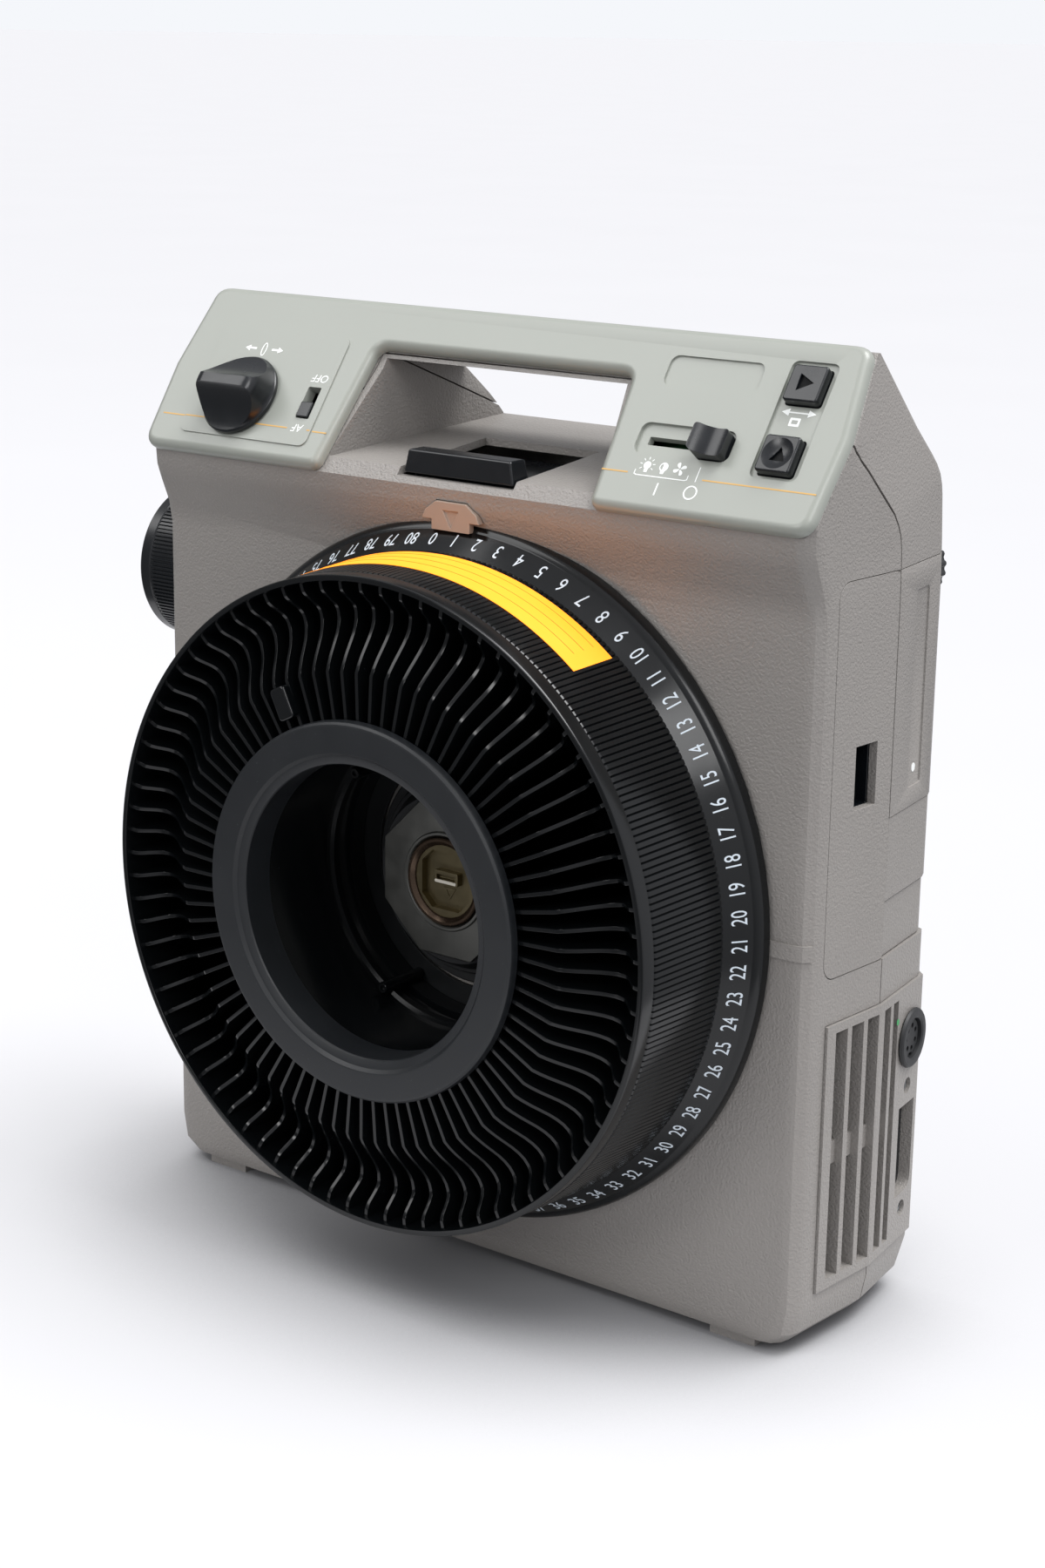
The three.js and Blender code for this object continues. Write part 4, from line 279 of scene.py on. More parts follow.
def pushLine(name, points):  # one vertex pushed from point to point; the piece stays in edit mode
    bpy.ops.object.select_all(action="DESELECT")
    bpy.ops.mesh.primitive_plane_add(size=mm)
    piece = bpy.context.object
    piece.name = name
    bpy.ops.object.mode_set(mode="EDIT")
    bpy.ops.mesh.select_all(action="SELECT")
    bpy.ops.mesh.merge(type="CENTER")
    places = [Vector(point) * mm for point in points]
    bpy.ops.transform.translate(value=places[0])
    for start, end in zip(places, places[1:]):
        bpy.ops.mesh.extrude_region_move(TRANSFORM_OT_translate={"value": end - start})
    bpy.ops.mesh.select_all(action="SELECT")
    return piece


def closeUp():
    bpy.ops.mesh.select_all(action="SELECT")
    bpy.ops.mesh.remove_doubles(threshold=mm / 1000)
    bpy.ops.mesh.normals_make_consistent(inside=False)
    bpy.ops.object.mode_set(mode="OBJECT")


def turnPiece(name, profile, steps):  # profile of (radius, height), spun about the bench's Z
    piece = pushLine(name, [(radius, 0, height) for radius, height in profile])
    bpy.ops.mesh.spin(steps=steps, angle=2 * math.pi, center=(0, 0, 0), axis=(0, 0, 1))
    closeUp()
    return piece


def pushFace(name, outline, move):  # a closed outline of (x, y, z), filled and extruded by the move
    piece = pushLine(name, outline)
    bpy.ops.mesh.edge_face_add()
    bpy.ops.mesh.extrude_region_move(TRANSFORM_OT_translate={"value": tuple(length * mm for length in move)})
    closeUp()
    return piece


def slabPiece(name, outline, low, high):  # outline of (x, y), extruded from one height to the other
    return pushFace(name, [(x, y, low) for x, y in outline], (0, 0, high - low))


def addBevel(piece, width, segments, above):
    bevel = piece.modifiers.new("rounding", "BEVEL")
    bevel.width = width * mm
    bevel.segments = segments
    bevel.limit_method = "ANGLE"
    bevel.angle_limit = above * degree
    return bevel


def roundEdges(piece, width, segments=2, above=32):
    choose(piece)
    bpy.ops.object.modifier_apply(modifier=addBevel(piece, width, segments, above).name)
    return piece


def addWall(piece, thick):
    choose(piece)
    wall = piece.modifiers.new("wall", "SOLIDIFY")
    wall.thickness = thick * mm
    wall.offset = -1
    bpy.ops.object.modifier_apply(modifier=wall.name)
    return piece


def cutOut(piece, cutter):
    choose(piece)
    cut = piece.modifiers.new("cut", "BOOLEAN")
    cut.operation = "DIFFERENCE"
    cut.solver = "EXACT"
    cut.object = cutter
    bpy.ops.object.modifier_apply(modifier=cut.name)
    bpy.data.objects.remove(cutter)
    return piece


def moved(piece, x, y, z=0, turn=0):  # turned about the bench's Z and moved from its middle
    piece.matrix_world = (Matrix.Translation((x * mm, y * mm, z * mm))
                          @ Matrix.Rotation(turn * degree, 4, "Z"))
    return piece


def joinAll(name, pieces):
    bpy.ops.object.select_all(action="DESELECT")
    for piece in pieces:
        piece.select_set(True)
    bpy.context.view_layer.objects.active = pieces[0]
    bpy.ops.object.join()
    pieces[0].name = name
    return pieces[0]


def copyOf(piece, move):
    copy = piece.copy()
    copy.data = piece.data.copy()
    bpy.context.scene.collection.objects.link(copy)
    copy.matrix_world = move @ piece.matrix_world
    return copy


def selectWhere(piece, test):  # selects the points that pass, and the edges and faces between them
    for vertex in piece.data.vertices:
        vertex.select = test(vertex)
    for part in (*piece.data.edges, *piece.data.polygons):
        part.select = all(piece.data.vertices[i].select for i in part.vertices)


def applyPlace(piece):
    choose(piece)
    bpy.ops.object.transform_apply(location=True, rotation=True, scale=True)
    return piece


def ringOf(piece, turns):  # copies about the bench's Z, one for each turn in degrees
    copies = [copyOf(piece, Matrix.Rotation(turn * degree, 4, "Z")) for turn in turns]
    name = piece.name
    bpy.data.objects.remove(piece)
    return applyPlace(joinAll(name, copies))


# Ribs round a sleeve: a circle with six points a rib, those of the grooves pulled in, is made smaller for
# the edge and pushed back in steps of a drop and a scale
def ribbedSleeve(count, radius, front, groove, depth, edge, steps):
    bpy.ops.object.select_all(action="DESELECT")
    bpy.ops.mesh.primitive_circle_add(vertices=count * 6, radius=radius * mm, location=(0, 0, front * mm))
    sleeve = applyPlace(bpy.context.object)
    selectWhere(sleeve, lambda vertex: vertex.index % 6 in groove)
    bpy.ops.object.mode_set(mode="EDIT")
    bpy.ops.transform.resize(value=(1 - depth / radius, 1 - depth / radius, 1))
    bpy.ops.mesh.select_all(action="SELECT")
    bpy.ops.transform.resize(value=(1 - edge / radius, 1 - edge / radius, 1))
    for drop, scale in steps:
        bpy.ops.mesh.extrude_region_move(TRANSFORM_OT_translate={"value": (0, 0, -drop * mm)})
        bpy.ops.transform.resize(value=(scale, scale, 1))
    closeUp()
    return addWall(sleeve, 0.9)


def centredText(words, size, thick):  # still to be made a mesh
    bpy.ops.object.select_all(action="DESELECT")
    bpy.ops.object.text_add()
    text = bpy.context.object
    text.data.body = words
    text.data.align_x = "CENTER"
    text.data.align_y = "CENTER"
    text.data.size = size * mm
    text.data.extrude = thick * mm
    return text


# Sets a finished piece on its bench, smooths it below an angle, gives it its finish and body, and hides the
# CAD nodes it stands for
def setOn(piece, bench, body, finish, nodes=(), smooth=32):
    piece.matrix_world = benches[bench] @ piece.matrix_world
    applyPlace(piece)
    bpy.ops.object.shade_smooth_by_angle(angle=smooth * degree)
    flat = piece.modifiers.new("flatFaces", "WEIGHTED_NORMAL")
    flat.keep_sharp = True
    bpy.ops.object.modifier_apply(modifier=flat.name)
    piece.data.materials.clear()
    piece.data.materials.append(finishes[finish])
    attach(piece, body)
    if nodes:
        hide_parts(*nodes)
    return piece


def rounded(left, right, bottom, top, radius, steps=5):  # outline of a rectangle with round corners
    corners = [(right - radius, bottom + radius, -90), (right - radius, top - radius, 0),
               (left + radius, top - radius, 90), (left + radius, bottom + radius, 180)]
    return [(x + radius * math.cos((start + 90 * i / steps) * degree),
             y + radius * math.sin((start + 90 * i / steps) * degree))
            for x, y, start in corners for i in range(steps + 1)]


def arc(cx, cy, radius, start, end, steps):
    return [(cx + radius * math.cos((start + (end - start) * i / steps) * degree),
             cy + radius * math.sin((start + (end - start) * i / steps) * degree)) for i in range(steps + 1)]


def circle(x, y, radius, steps):
    return arc(x, y, radius, 0, 360, steps)[:-1]


def oblong(left, right, bottom, top):
    return [(left, bottom), (right, bottom), (right, top), (left, top)]


def bend(start, control, end, steps=6):  # the points of a quadratic curve after its start
    return [tuple((1 - t) ** 2 * s + 2 * t * (1 - t) * c + t * t * e for s, c, e in zip(start, control, end))
            for t in [i / steps for i in range(1, steps + 1)]]


# A CAD node that keeps its own shape: welded, its edges rounded, and given its finish
def dress(node, finish, width):
    piece = frame["nodes"][node]
    piece.data.materials.clear()
    piece.data.materials.append(finishes[finish])
    choose(piece)
    bpy.ops.object.shade_smooth()
    weld = piece.modifiers.new("weld", "WELD")
    weld.merge_threshold = mm / 500
    planar = piece.modifiers.new("planar", "DECIMATE")
    planar.decimate_type = "DISSOLVE"
    planar.angle_limit = 0.6 * degree
    addBevel(piece, width, 2, 30)
    flat = piece.modifiers.new("flatFaces", "WEIGHTED_NORMAL")
    flat.keep_sharp = True


# CAD nodes that are kept: finish and edge rounding in millimetres
kept = {
    "top_housing": ("texturedAbs", 0.7), "base_housing": ("texturedAbs", 0.7),
    "tray_pointer": ("pointerAbs", 0.35), "focus_shaft": ("brightSteel", 0.15),
    "af_switch_lever": ("controlAbs", 0.4), "control_board": ("boardLacquer", 0.1),
    # The base plate's near-black colour is painted shade for the depth of the tray's middle
    "tray_base_plate": ("shadedBasePlateSteel", 0.15),
    "lens_rear_glass": ("coatedGlass", 0.2), "lens_sleeve": ("darkPlastic", 0.3),
    "mechanism_plate": ("zincPlate", 0.2), "slide_gate": ("darkPlastic", 0.3),
    "lift_guide_rod": ("brightSteel", 0.2), "slide_lift_lever": ("brightSteel", 0.3),
    "condenser_frame": ("zincPlate", 0.3), "condenser_lens": ("coatedGlass", 0.2),
    "heat_filter_glass": ("coatedGlass", 0.2), "lamp_module_door": ("texturedAbs", 0.5),
    "door_finger_pocket": ("controlAbs", 0.4), "lamp_module_label_cover": ("texturedAbs", 0.4),
    "lamp_module_lower_cover": ("texturedAbs", 0.4), "lamp_chassis": ("zincPlate", 0.3),
    "reflector_lamp": ("coatedGlass", 0.2), "lamp_socket": ("naturalNylon", 0.4),
    "side_grille": ("texturedAbs", 0.45), "accessory_outlet": ("controlAbs", 0.2),
    "fan_shroud": ("darkPlastic", 0.4), "fan_rotor": ("darkPlastic", 0.3), "drive_motor": ("zincPlate", 0.5),
    "motor_bracket": ("zincPlate", 0.3), "motor_shaft": ("brightSteel", 0.2),
    "cycle_gear": ("naturalNylon", 0.2), "cycle_gear_post": ("brightSteel", 0.2),
    "transformer": ("copperWinding", 0.4), "main_circuit_board": ("boardLacquer", 0.2),
    "base_foot_1": ("rubber", 0.8), "base_foot_2": ("rubber", 0.8), "base_foot_3": ("rubber", 0.8),
    "levelling_wheel": ("controlAbs", 0.25), "elevation_guide": ("darkPlastic", 0.4),
    "elevation_foot": ("darkPlastic", 0.8), "elevation_release": ("controlAbs", 0.6),
    "cord_gland": ("rubber", 0.4),
}
for node, (finish, width) in kept.items():
    dress(node, finish, width)
print("CAD nodes dressed:", len(kept))

# Slide tray: 81 fins between a short inner wall and a ribbed drum with a numbered skirt
tray = {
    "slots": 81, "firstFin": -1.6, "finThick": 1.3, "finRound": 0.12, "backZ": -2.9,
    "finFront": [(54.7, 57.2), (80.5, 57.2), (83, 56), (86, 54.1), (89, 51.9), (91.5, 50.1), (94, 48.7),
                 (96.5, 47.8), (98.8, 47.6), (100.6, 48), (102.2, 49.2), (103.8, 51), (105.3, 52.7),
                 (106.5, 53.7), (107.6, 54.2), (111, 54.5)],
    "finBehind": [(111, -1.4), (54.7, -1.4)],
    "ribs": 324, "ribFront": 49.4, "ribBack": 15, "ribRadius": 112.4, "ribBackRadius": 114.4,
    "ribDepth": 0.55, "ribEdge": 0.7, "ribEdgeHigh": 0.9, "lugTurn": 116.1, "pegRadius": 49.4,
}
wallProfile = [
    (109.9, tray["backZ"]), (109.9, 55.6), (110.3, 56.3), (110.9, 56.4), (111.5, 56.4), (112.0, 56.2),
    (112.25, 55.7), (112.3, 50.6), (112.0, 50.2), (111.5, 50.1), (113.3, 15.5), (113.9, 15.4), (114.4, 15),
    (120.4, 7), (120.8, 6.7), (121.5, 6.4), (122.6, 5.4), (123.2, 4), (123.2, 1.1), (122.9, 0.8),
    (112.25, 0.8), (112.25, tray["backZ"]), (109.9, tray["backZ"]),
]
drumWall = turnPiece("drumWall", wallProfile, 243)
innerWall = turnPiece("innerWall", [
    (53, tray["backZ"]), (53, 56), (56.5, 56), (56.5, tray["backZ"]), (53, tray["backZ"])], 162)

finOutline = tray["finFront"] + tray["finBehind"]
fin = pushFace("fin", [(radius, -tray["finThick"] / 2, height) for radius, height in finOutline],
               (0, tray["finThick"], 0))
roundEdges(fin, tray["finRound"], 2, 60)
fins = ringOf(fin, [tray["firstFin"] + i * 360 / tray["slots"] for i in range(tray["slots"])])
ribSteps = ((tray["ribEdgeHigh"], 1 + tray["ribEdge"] / tray["ribRadius"]),
            (tray["ribFront"] - tray["ribBack"], tray["ribBackRadius"] / tray["ribRadius"]))
ribs = ribbedSleeve(tray["ribs"], tray["ribRadius"], tray["ribFront"] + tray["ribEdgeHigh"], (5,),
                    tray["ribDepth"], tray["ribEdge"], ribSteps)

# Lug that drives the tray's cover, and the pegs at the inner wall
lug = slabPiece("lug", rounded(67.9, 79.3, -3.4, 3.4, 1.6), 46.4, 60.4)
roundEdges(lug, 0.9, 3)
lug = ringOf(lug, [tray["lugTurn"]])
peg = turnPiece("peg", [(0, -2.9), (2.2, -2.9), (2.2, 17.2), (1.7, 17.8), (1, 17.8), (0.8, 17), (0, 17)], 24)
peg = applyPlace(moved(peg, tray["pegRadius"], 0))
web = slabPiece("web", oblong(tray["pegRadius"], 54, -0.8, 0.8), -2.9, 14)
pegs = ringOf(joinAll("pegs", [peg, web]), [-119.5, 21, 138.5])
ledges = [turnPiece("ledge", [(radius, low), (53.4, low), (53.4, high), (radius, high - 0.4), (radius, low)],
                    162) for radius, low, high in ((51.4, 9, 12.5), (50.2, -2.9, 5))]
trayPiece = joinAll("slide_tray", [drumWall, innerWall, fins, ribs, lug, pegs, *ledges])
setOn(trayPiece, "tray", "tray", "trayPolystyrene", ["tray_body"], 40)
print("slide tray made:", len(trayPiece.data.polygons), "faces")

# Slide numbers stamped on the skirt, their tops towards the middle
numbers = {"radius": 117.9, "height": 10.3, "first": 94.1, "size": 7.9, "narrow": 0.66, "lift": 0.12,
           "thick": 0.03}
slopeIn, slopeOut = 0.6, 0.8  # the skirt widens by 6 mm over 8
digits = []
for number in range(tray["slots"]):
    text = centredText(str(number), numbers["size"], numbers["thick"])
    text.data.resolution_u = 3
    text.scale = (numbers["narrow"], 1, 1)
    bpy.ops.object.convert(target="MESH")
    digit = applyPlace(bpy.context.object)
    angle = (numbers["first"] - number * 360 / tray["slots"]) * degree
    radial = Vector((math.cos(angle), math.sin(angle), 0))
    up = Vector((0, 0, slopeOut)) - radial * slopeIn
    out = radial * slopeOut + Vector((0, 0, slopeIn))
    place = Matrix((up.cross(out), up, out)).transposed().to_4x4()
    place.translation = (radial * numbers["radius"] + Vector((0, 0, numbers["height"]))
                         + out * numbers["lift"]) * mm
    digit.matrix_world = place
    digits.append(digit)
setOn(joinAll("tray_numbers", digits), "tray", "tray", "numberInk")

# Yellow label round the drum's top, with ruled lines
label = {"from": 51.7, "to": 113, "front": 37.6, "back": 18, "lift": 0.12, "thick": 0.14,
         "rules": (21.5, 26.5, 31.5), "ruleHalf": 0.12, "ruleInset": 3, "ruleLift": 0.1}


def onDrum(height):
    share = (tray["ribFront"] - height) / (tray["ribFront"] - tray["ribBack"])
    return tray["ribRadius"] + (tray["ribBackRadius"] - tray["ribRadius"]) * share + label["lift"]


def strip(name, front, back, start, end, lift):
    piece = pushLine(name, [(onDrum(front) + lift, 0, front), (onDrum(back) + lift, 0, back)])
    bpy.ops.mesh.spin(steps=72, angle=(end - start) * degree, center=(0, 0, 0), axis=(0, 0, -1))
    closeUp()
    return ringOf(addWall(piece, label["thick"]), [start])


# The label's finish glows orange: painted light standing in for the light it bounces onto the deck
setOn(strip("tray_label", label["front"], label["back"], label["from"], label["to"], 0), "tray", "tray",
      "labelPaper")
rules = [strip("rule", height + label["ruleHalf"], height - label["ruleHalf"],
               label["from"] + label["ruleInset"], label["to"] - label["ruleInset"], label["ruleLift"])
         for height in label["rules"]]
setOn(joinAll("label_rules", rules), "tray", "tray", "labelInk")

# Lock ring: a flat etched face, a step and a bevel down to the hole
lockRing = turnPiece("lock_ring", [
    (50.2, 47.2), (50.2, 58.9), (50.5, 59.4), (51.2, 59.7), (52.6, 60.1), (53.2, 60.2), (53.6, 60.6),
    (54.3, 61.3), (54.9, 61.4), (62.9, 61.4), (63.8, 61.2), (64.5, 60.5), (64.8, 59.6), (64.8, 57.5),
    (52.6, 57.5), (52.6, 47.2), (50.2, 47.2)], 180)
setOn(lockRing, "tray", "lock_ring", "ringPolystyrene", ["tray_lock_ring"], 25)
print("numbers, label and lock ring made")

# Hub in the middle of the deck, its bright plate and the coin-slot release
hub = turnPiece("tray_hub_cone", [
    (0, -4.7), (40, -4.7), (40, -0.6), (39.4, -0.1), (36.6, -0.1), (36, 0.6), (35.2, 3.4), (34.8, 3.9),
    (33.6, 3.9), (33.2, 4.4), (30.6, 10.2), (29.8, 11), (15.3, 11), (15.3, 7), (0, 7)], 96)
setOn(hub, "tray", "projector", "darkPlastic", ["tray_hub"], 28)
octagon = arc(0, 0, 29.2, 22.5, 337.5, 7)
hubPlate = slabPiece("hub_plate_steel", octagon, 11.3, 13.5)
cutOut(hubPlate, slabPiece("hole", circle(0, 0, 17.2, 72), 10, 15))
roundEdges(hubPlate, 0.45, 3)
collar = turnPiece("collar", [
    (15.6, 11.3), (17.6, 11.3), (17.6, 13.9), (17.2, 14.3), (16.4, 14.3), (15.6, 13.4), (15.6, 11.3)], 96)
setOn(joinAll("hub_plate_steel", [hubPlate, collar]), "tray", "projector", "dullSteel",
      ["hub_plate"], 28)
release = turnPiece("release_insert", [(0, 7.3), (14.7, 7.3), (14.7, 12.9), (14.2, 13.3), (0, 13.3)], 72)
dishOutline = [point for start in (30, 120, 210, 300) for point in arc(0, 0, 11.8, start, start + 30, 1)]
cutOut(release, slabPiece("dish", dishOutline, 10.6, 15))
bar = slabPiece("bar", rounded(-5.2, 5.2, -1.4, 3.4, 0.8, 3), 10.2, 13.2)
cutOut(bar, slabPiece("slot", oblong(-4, 4, 0.4, 2), 11.4, 15))
roundEdges(bar, 0.25, 2)
mark = slabPiece("mark", [(-2.6, -3), (2.6, -3), (0, -7.2)], 10.4, 10.9)
cutOut(mark, slabPiece("inside", [(-1.5, -3.6), (1.5, -3.6), (0, -6.1)], 10.7, 12))
setOn(joinAll("release_insert", [release, bar, mark]), "tray", "release", "chromatedSteel",
      ["release_screw"], 30)
# A milky white strip along the slot's edge: a painted highlight for the bright line that the slot's edge
# reflects
edge = roundEdges(slabPiece("release_slot_painted_highlight", rounded(-4.6, 4.6, -0.9, 0.2, 0.3, 2), 13, 13.5), 0.15)
setOn(edge, "tray", "release", "naturalNylon", smooth=30)
rim = turnPiece("release_rim", [
    (12.8, 13.2), (15.5, 13.2), (15.5, 14.6), (15.1, 14.9), (14.3, 14.9), (13.1, 14.1), (12.8, 13.7),
    (12.8, 13.2)], 72)
setOn(rim, "tray", "release", "bronzedSteel", smooth=30)
print("hub made")

# Control panel: one moulding whose front edges are well rounded, with recesses for the controls
panel = {
    "thick": 4, "round": 3.2, "bottom": -3, "top": 63.5, "bendAt": 30.4, "halfBottom": 140,
    "halfBend": 141.3, "halfTop": 138, "corner": 7, "openCorner": 5, "foot": 4, "middleX": -3,
    "openLeft": (-60, -56.6), "openRight": (54.6, 51.8), "openTop": 45.6,
    "subPlate": (-127.2, -67.8, 3.5, 46.8), "afSlot": (-77, -71.2, 14, 26.4),
    "upperRecess": (64.5, 100.1, 42, 53.2), "powerRecess": (63.8, 99.8, 17.2, 28.4),
    "powerSlot": (67.7, 97, 20.8, 23.8), "buttonRecess": (109, 126.2, 13.6, 55.4),
    "forward": (111.4, 124, 40.2, 53), "reverse": (111.4, 124, 15.2, 28), "buttonGap": 0.35,
    "knob": (-104.6, 19.3), "shaftHole": 3.3,
}


def panelOutline():
    (leftBottom, leftBend, leftTop), (rightBottom, rightBend, rightTop) = [
        [panel["middleX"] + sign * panel[half] for half in ("halfBottom", "halfBend", "halfTop")]
        for sign in (-1, 1)]
    bottom, top, corner = panel["bottom"], panel["top"], panel["corner"]
    (inLeftBottom, inLeftTop), (inRightBottom, inRightTop) = panel["openLeft"], panel["openRight"]
    openTop, inner, foot = panel["openTop"], panel["openCorner"], panel["foot"]
    points = [(leftBottom + corner, bottom), (inLeftBottom - foot, bottom)]
    points += bend(points[-1], (inLeftBottom, bottom), (inLeftBottom, bottom + foot))
    points += [(inLeftTop, openTop - inner)]
    points += bend(points[-1], (inLeftTop, openTop), (inLeftTop + inner, openTop))
    points += [(inRightTop - inner, openTop)]
    points += bend(points[-1], (inRightTop, openTop), (inRightTop, openTop - inner))
    points += [(inRightBottom, bottom + foot)]
    points += bend(points[-1], (inRightBottom, bottom), (inRightBottom + foot, bottom))
    points += [(rightBottom - corner, bottom)]
    points += bend(points[-1], (rightBottom, bottom), (rightBottom, bottom + corner))
    points += [(rightBend, panel["bendAt"]), (rightTop, top - corner)]
    points += bend(points[-1], (rightTop, top), (rightTop - corner, top))
    points += [(leftTop + corner, top)]
    points += bend(points[-1], (leftTop, top), (leftTop, top - corner))
    points += [(leftBend, panel["bendAt"]), (leftBottom, bottom + corner)]
    points += bend(points[-1], (leftBottom, bottom), (leftBottom + corner, bottom))[:-1]
    return points


face = panel["thick"]
panelPiece = slabPiece("panel_moulding", panelOutline(), 0, face)
selectWhere(panelPiece, lambda vertex: vertex.co.z > face * mm / 2)
choose(panelPiece)
bpy.ops.object.mode_set(mode="EDIT")
bpy.ops.mesh.bevel(offset=panel["round"] * mm, segments=6, affect="EDGES", clamp_overlap=True)
bpy.ops.object.mode_set(mode="OBJECT")
for name, corner, depth in (("upperRecess", 3, 0.7), ("powerRecess", 3, 1.2), ("buttonRecess", 2.5, 1),
                            ("powerSlot", 0.4, 9), ("afSlot", 0.5, 9)):
    cutOut(panelPiece, slabPiece(name, rounded(*panel[name], corner), face - depth, face + 3))


def widened(size, by):
    left, right, bottom, top = size
    return left - by, right + by, bottom - by, top + by


for name in ("forward", "reverse"):
    hole = rounded(*widened(panel[name], panel["buttonGap"]), 1.2)
    cutOut(panelPiece, slabPiece(name, hole, -3, face))
knobX, knobY = panel["knob"]
shaftHole = circle(knobX, knobY, panel["shaftHole"], 36)
cutOut(panelPiece, slabPiece("shaftHole", shaftHole, -3, face + 3))
roundEdges(panelPiece, 0.3, 2, 50)
setOn(panelPiece, "panel", "projector", "panelAbs", ["control_panel"], 30)
subPlate = slabPiece("focus_plate", rounded(*panel["subPlate"], 3), 3.9, 4.5)
cutOut(subPlate, slabPiece("slot", rounded(*panel["afSlot"], 0.5), 3, 6))
cutOut(subPlate, slabPiece("hole", shaftHole, 3, 6))
roundEdges(subPlate, 0.25, 2, 50)
setOn(subPlate, "panel", "projector", "panelAbs", smooth=30)
print("control panel made")

# Focus knob: a round foot that rises to a finger grip, scooped on its lower side
grip = {
    "foot": 4.8, "high": 13, "cutReach": 32,
    "side": [(0, 0), (14.9, 0), (15.3, 0.4), (15.3, 1.7), (14.8, 2.3), (14.2, 4.2), (13.8, 7), (13.4, 9),
             (12.8, 10.8), (11.8, 12.1), (10.4, 12.8), (8.8, 13), (0, 13)],
}
foot = grip["foot"]
crest = foot + grip["high"]
reach = grip["cutReach"]
knob = turnPiece("focus_grip", [(radius, foot + rise) for radius, rise in grip["side"]], 96)
brow = [(1.5, crest)] + bend((1.5, crest), (4.5, foot + 6.5), (15.3, foot + 2.2), 12) + [
    (reach, foot + 2.2), (reach, crest + 14), (1.5, crest + 14)]
scoop = circle(-16.5, foot + 17.2, 15, 96)
for name, outline in (("brow", brow), ("scoop", scoop)):
    cutOut(knob, pushFace(name, [(-reach, y, z) for y, z in outline], (2 * reach, 0, 0)))
cutOut(knob, slabPiece("bore", circle(0, 0, panel["shaftHole"], 36), foot - 2, foot + 6))
roundEdges(knob, 0.7, 3, 28)
setOn(moved(knob, knobX, knobY), "panel", "focus", "controlAbs", ["focus_knob"], 40)

# Select bar in its slot: drafted sides, on the carrier that it slides with
bar = slabPiece("select_bar_cap", rounded(-26, 20.6, -5, 4.2, 0.9, 3), 280.3, 288.3)
selectWhere(bar, lambda vertex: vertex.co.z > 284 * mm)
choose(bar)
bpy.ops.object.mode_set(mode="EDIT")
bpy.ops.transform.resize(value=(0.93, 0.88, 1))
bpy.ops.object.mode_set(mode="OBJECT")
roundEdges(bar, 0.8, 3, 50)
carrier = slabPiece("carrier", oblong(-25, 19.6, 0.6, 48), 277.2, 279.6)
neck = slabPiece("neck", oblong(-24, 18.6, 0.6, 3.4), 279, 281)
setOn(joinAll("select_bar_cap", [bar, carrier, neck]), "plan", "select", "controlAbs",
      ["select_bar"], 40)

# Power slider: a saddle that a fingertip pushes, on its stem
slider = slabPiece("power_saddle", rounded(87.6, 99, 17.5, 27.1, 1.5), 3.1, 11.1)
cutOut(slider, pushFace("saddle", [(x, 0, z) for x, z in circle(95.4, 17.2, 9.6, 72)], (0, 60, 0)))
roundEdges(slider, 0.7, 3, 30)
stem = slabPiece("stem", oblong(90.7, 96.7, 21.1, 23.5), -3, 3.4)
setOn(joinAll("power_saddle", [slider, stem]), "panel", "power_switch", "controlAbs",
      ["power_slider"], 40)

# Push buttons: raised caps, one with a sunk arrowhead and one with a finger dish and an arrowhead in it
buttons = {
    "top": 6.5, "back": -3, "dishRadius": 12.2, "dishDeep": 1.3,
    "arrows": {"forward": {"way": "right", "half": 3, "floor": 5.4},
               "reverse": {"way": "up", "half": 2.7, "floor": 4.4}},
}


def arrowHead(x, y, half, way):
    if way == "right":
        return [(x - half * 0.8, y + half), (x - half * 0.8, y - half), (x + half, y)]
    return [(x - half, y - half * 0.8), (x + half, y - half * 0.8), (x, y + half)]


for name, arrow in buttons["arrows"].items():
    left, right, bottom, top = panel[name]
    middle = ((left + right) / 2, (bottom + top) / 2)
    cap = slabPiece(name + "_cap", rounded(*panel[name], 1.2), buttons["back"], buttons["top"])
    roundEdges(cap, 0.7, 3, 50)
    if name == "reverse":
        dishHigh = buttons["top"] + buttons["dishRadius"] - buttons["dishDeep"]
        bpy.ops.object.select_all(action="DESELECT")
        bpy.ops.mesh.primitive_uv_sphere_add(segments=64, ring_count=48, radius=buttons["dishRadius"] * mm,
                                             location=(middle[0] * mm, middle[1] * mm, dishHigh * mm))
        cutOut(cap, bpy.context.object)
    cutOut(cap, slabPiece("arrow", arrowHead(*middle, arrow["half"], arrow["way"]), arrow["floor"], 8))
    roundEdges(cap, 0.15, 2, 50)
    # A dark inlay at the arrowhead's floor: a dull finish, and painted shade in the sunk arrowhead
    inlay = slabPiece(name + "_arrow", arrowHead(*middle, arrow["half"] - 0.1, arrow["way"]),
                      arrow["floor"] - 0.2, arrow["floor"] + 0.06)
    setOn(inlay, "panel", name, "etchedShadedAbs")
    lip = slabPiece("lip", rounded(*widened(panel[name], 1), 1), buttons["back"], buttons["back"] + 1)
    setOn(joinAll(name + "_cap", [cap, lip]), "panel", name, "controlAbs",
          [name + "_button"], 30)
print("controls made")


# Prints on the panel; its words are upside down while the projector stands on its side
prints = {"plateTop": 4.5, "panelTop": face, "recessFloor": face - 1, "sink": 0.02, "rise": 0.06}


def line(x0, y0, x1, y1, width):
    along = Vector((x1 - x0, y1 - y0)).normalized() * width / 2
    side = Vector((-along.y, along.x))
    return [(x0 + side.x, y0 + side.y), (x0 - side.x, y0 - side.y), (x1 - side.x, y1 - side.y),
            (x1 + side.x, y1 + side.y)]


def printed(name, outline, ground="panelTop"):
    return slabPiece(name, outline, prints[ground] - prints["sink"], prints[ground] + prints["rise"])


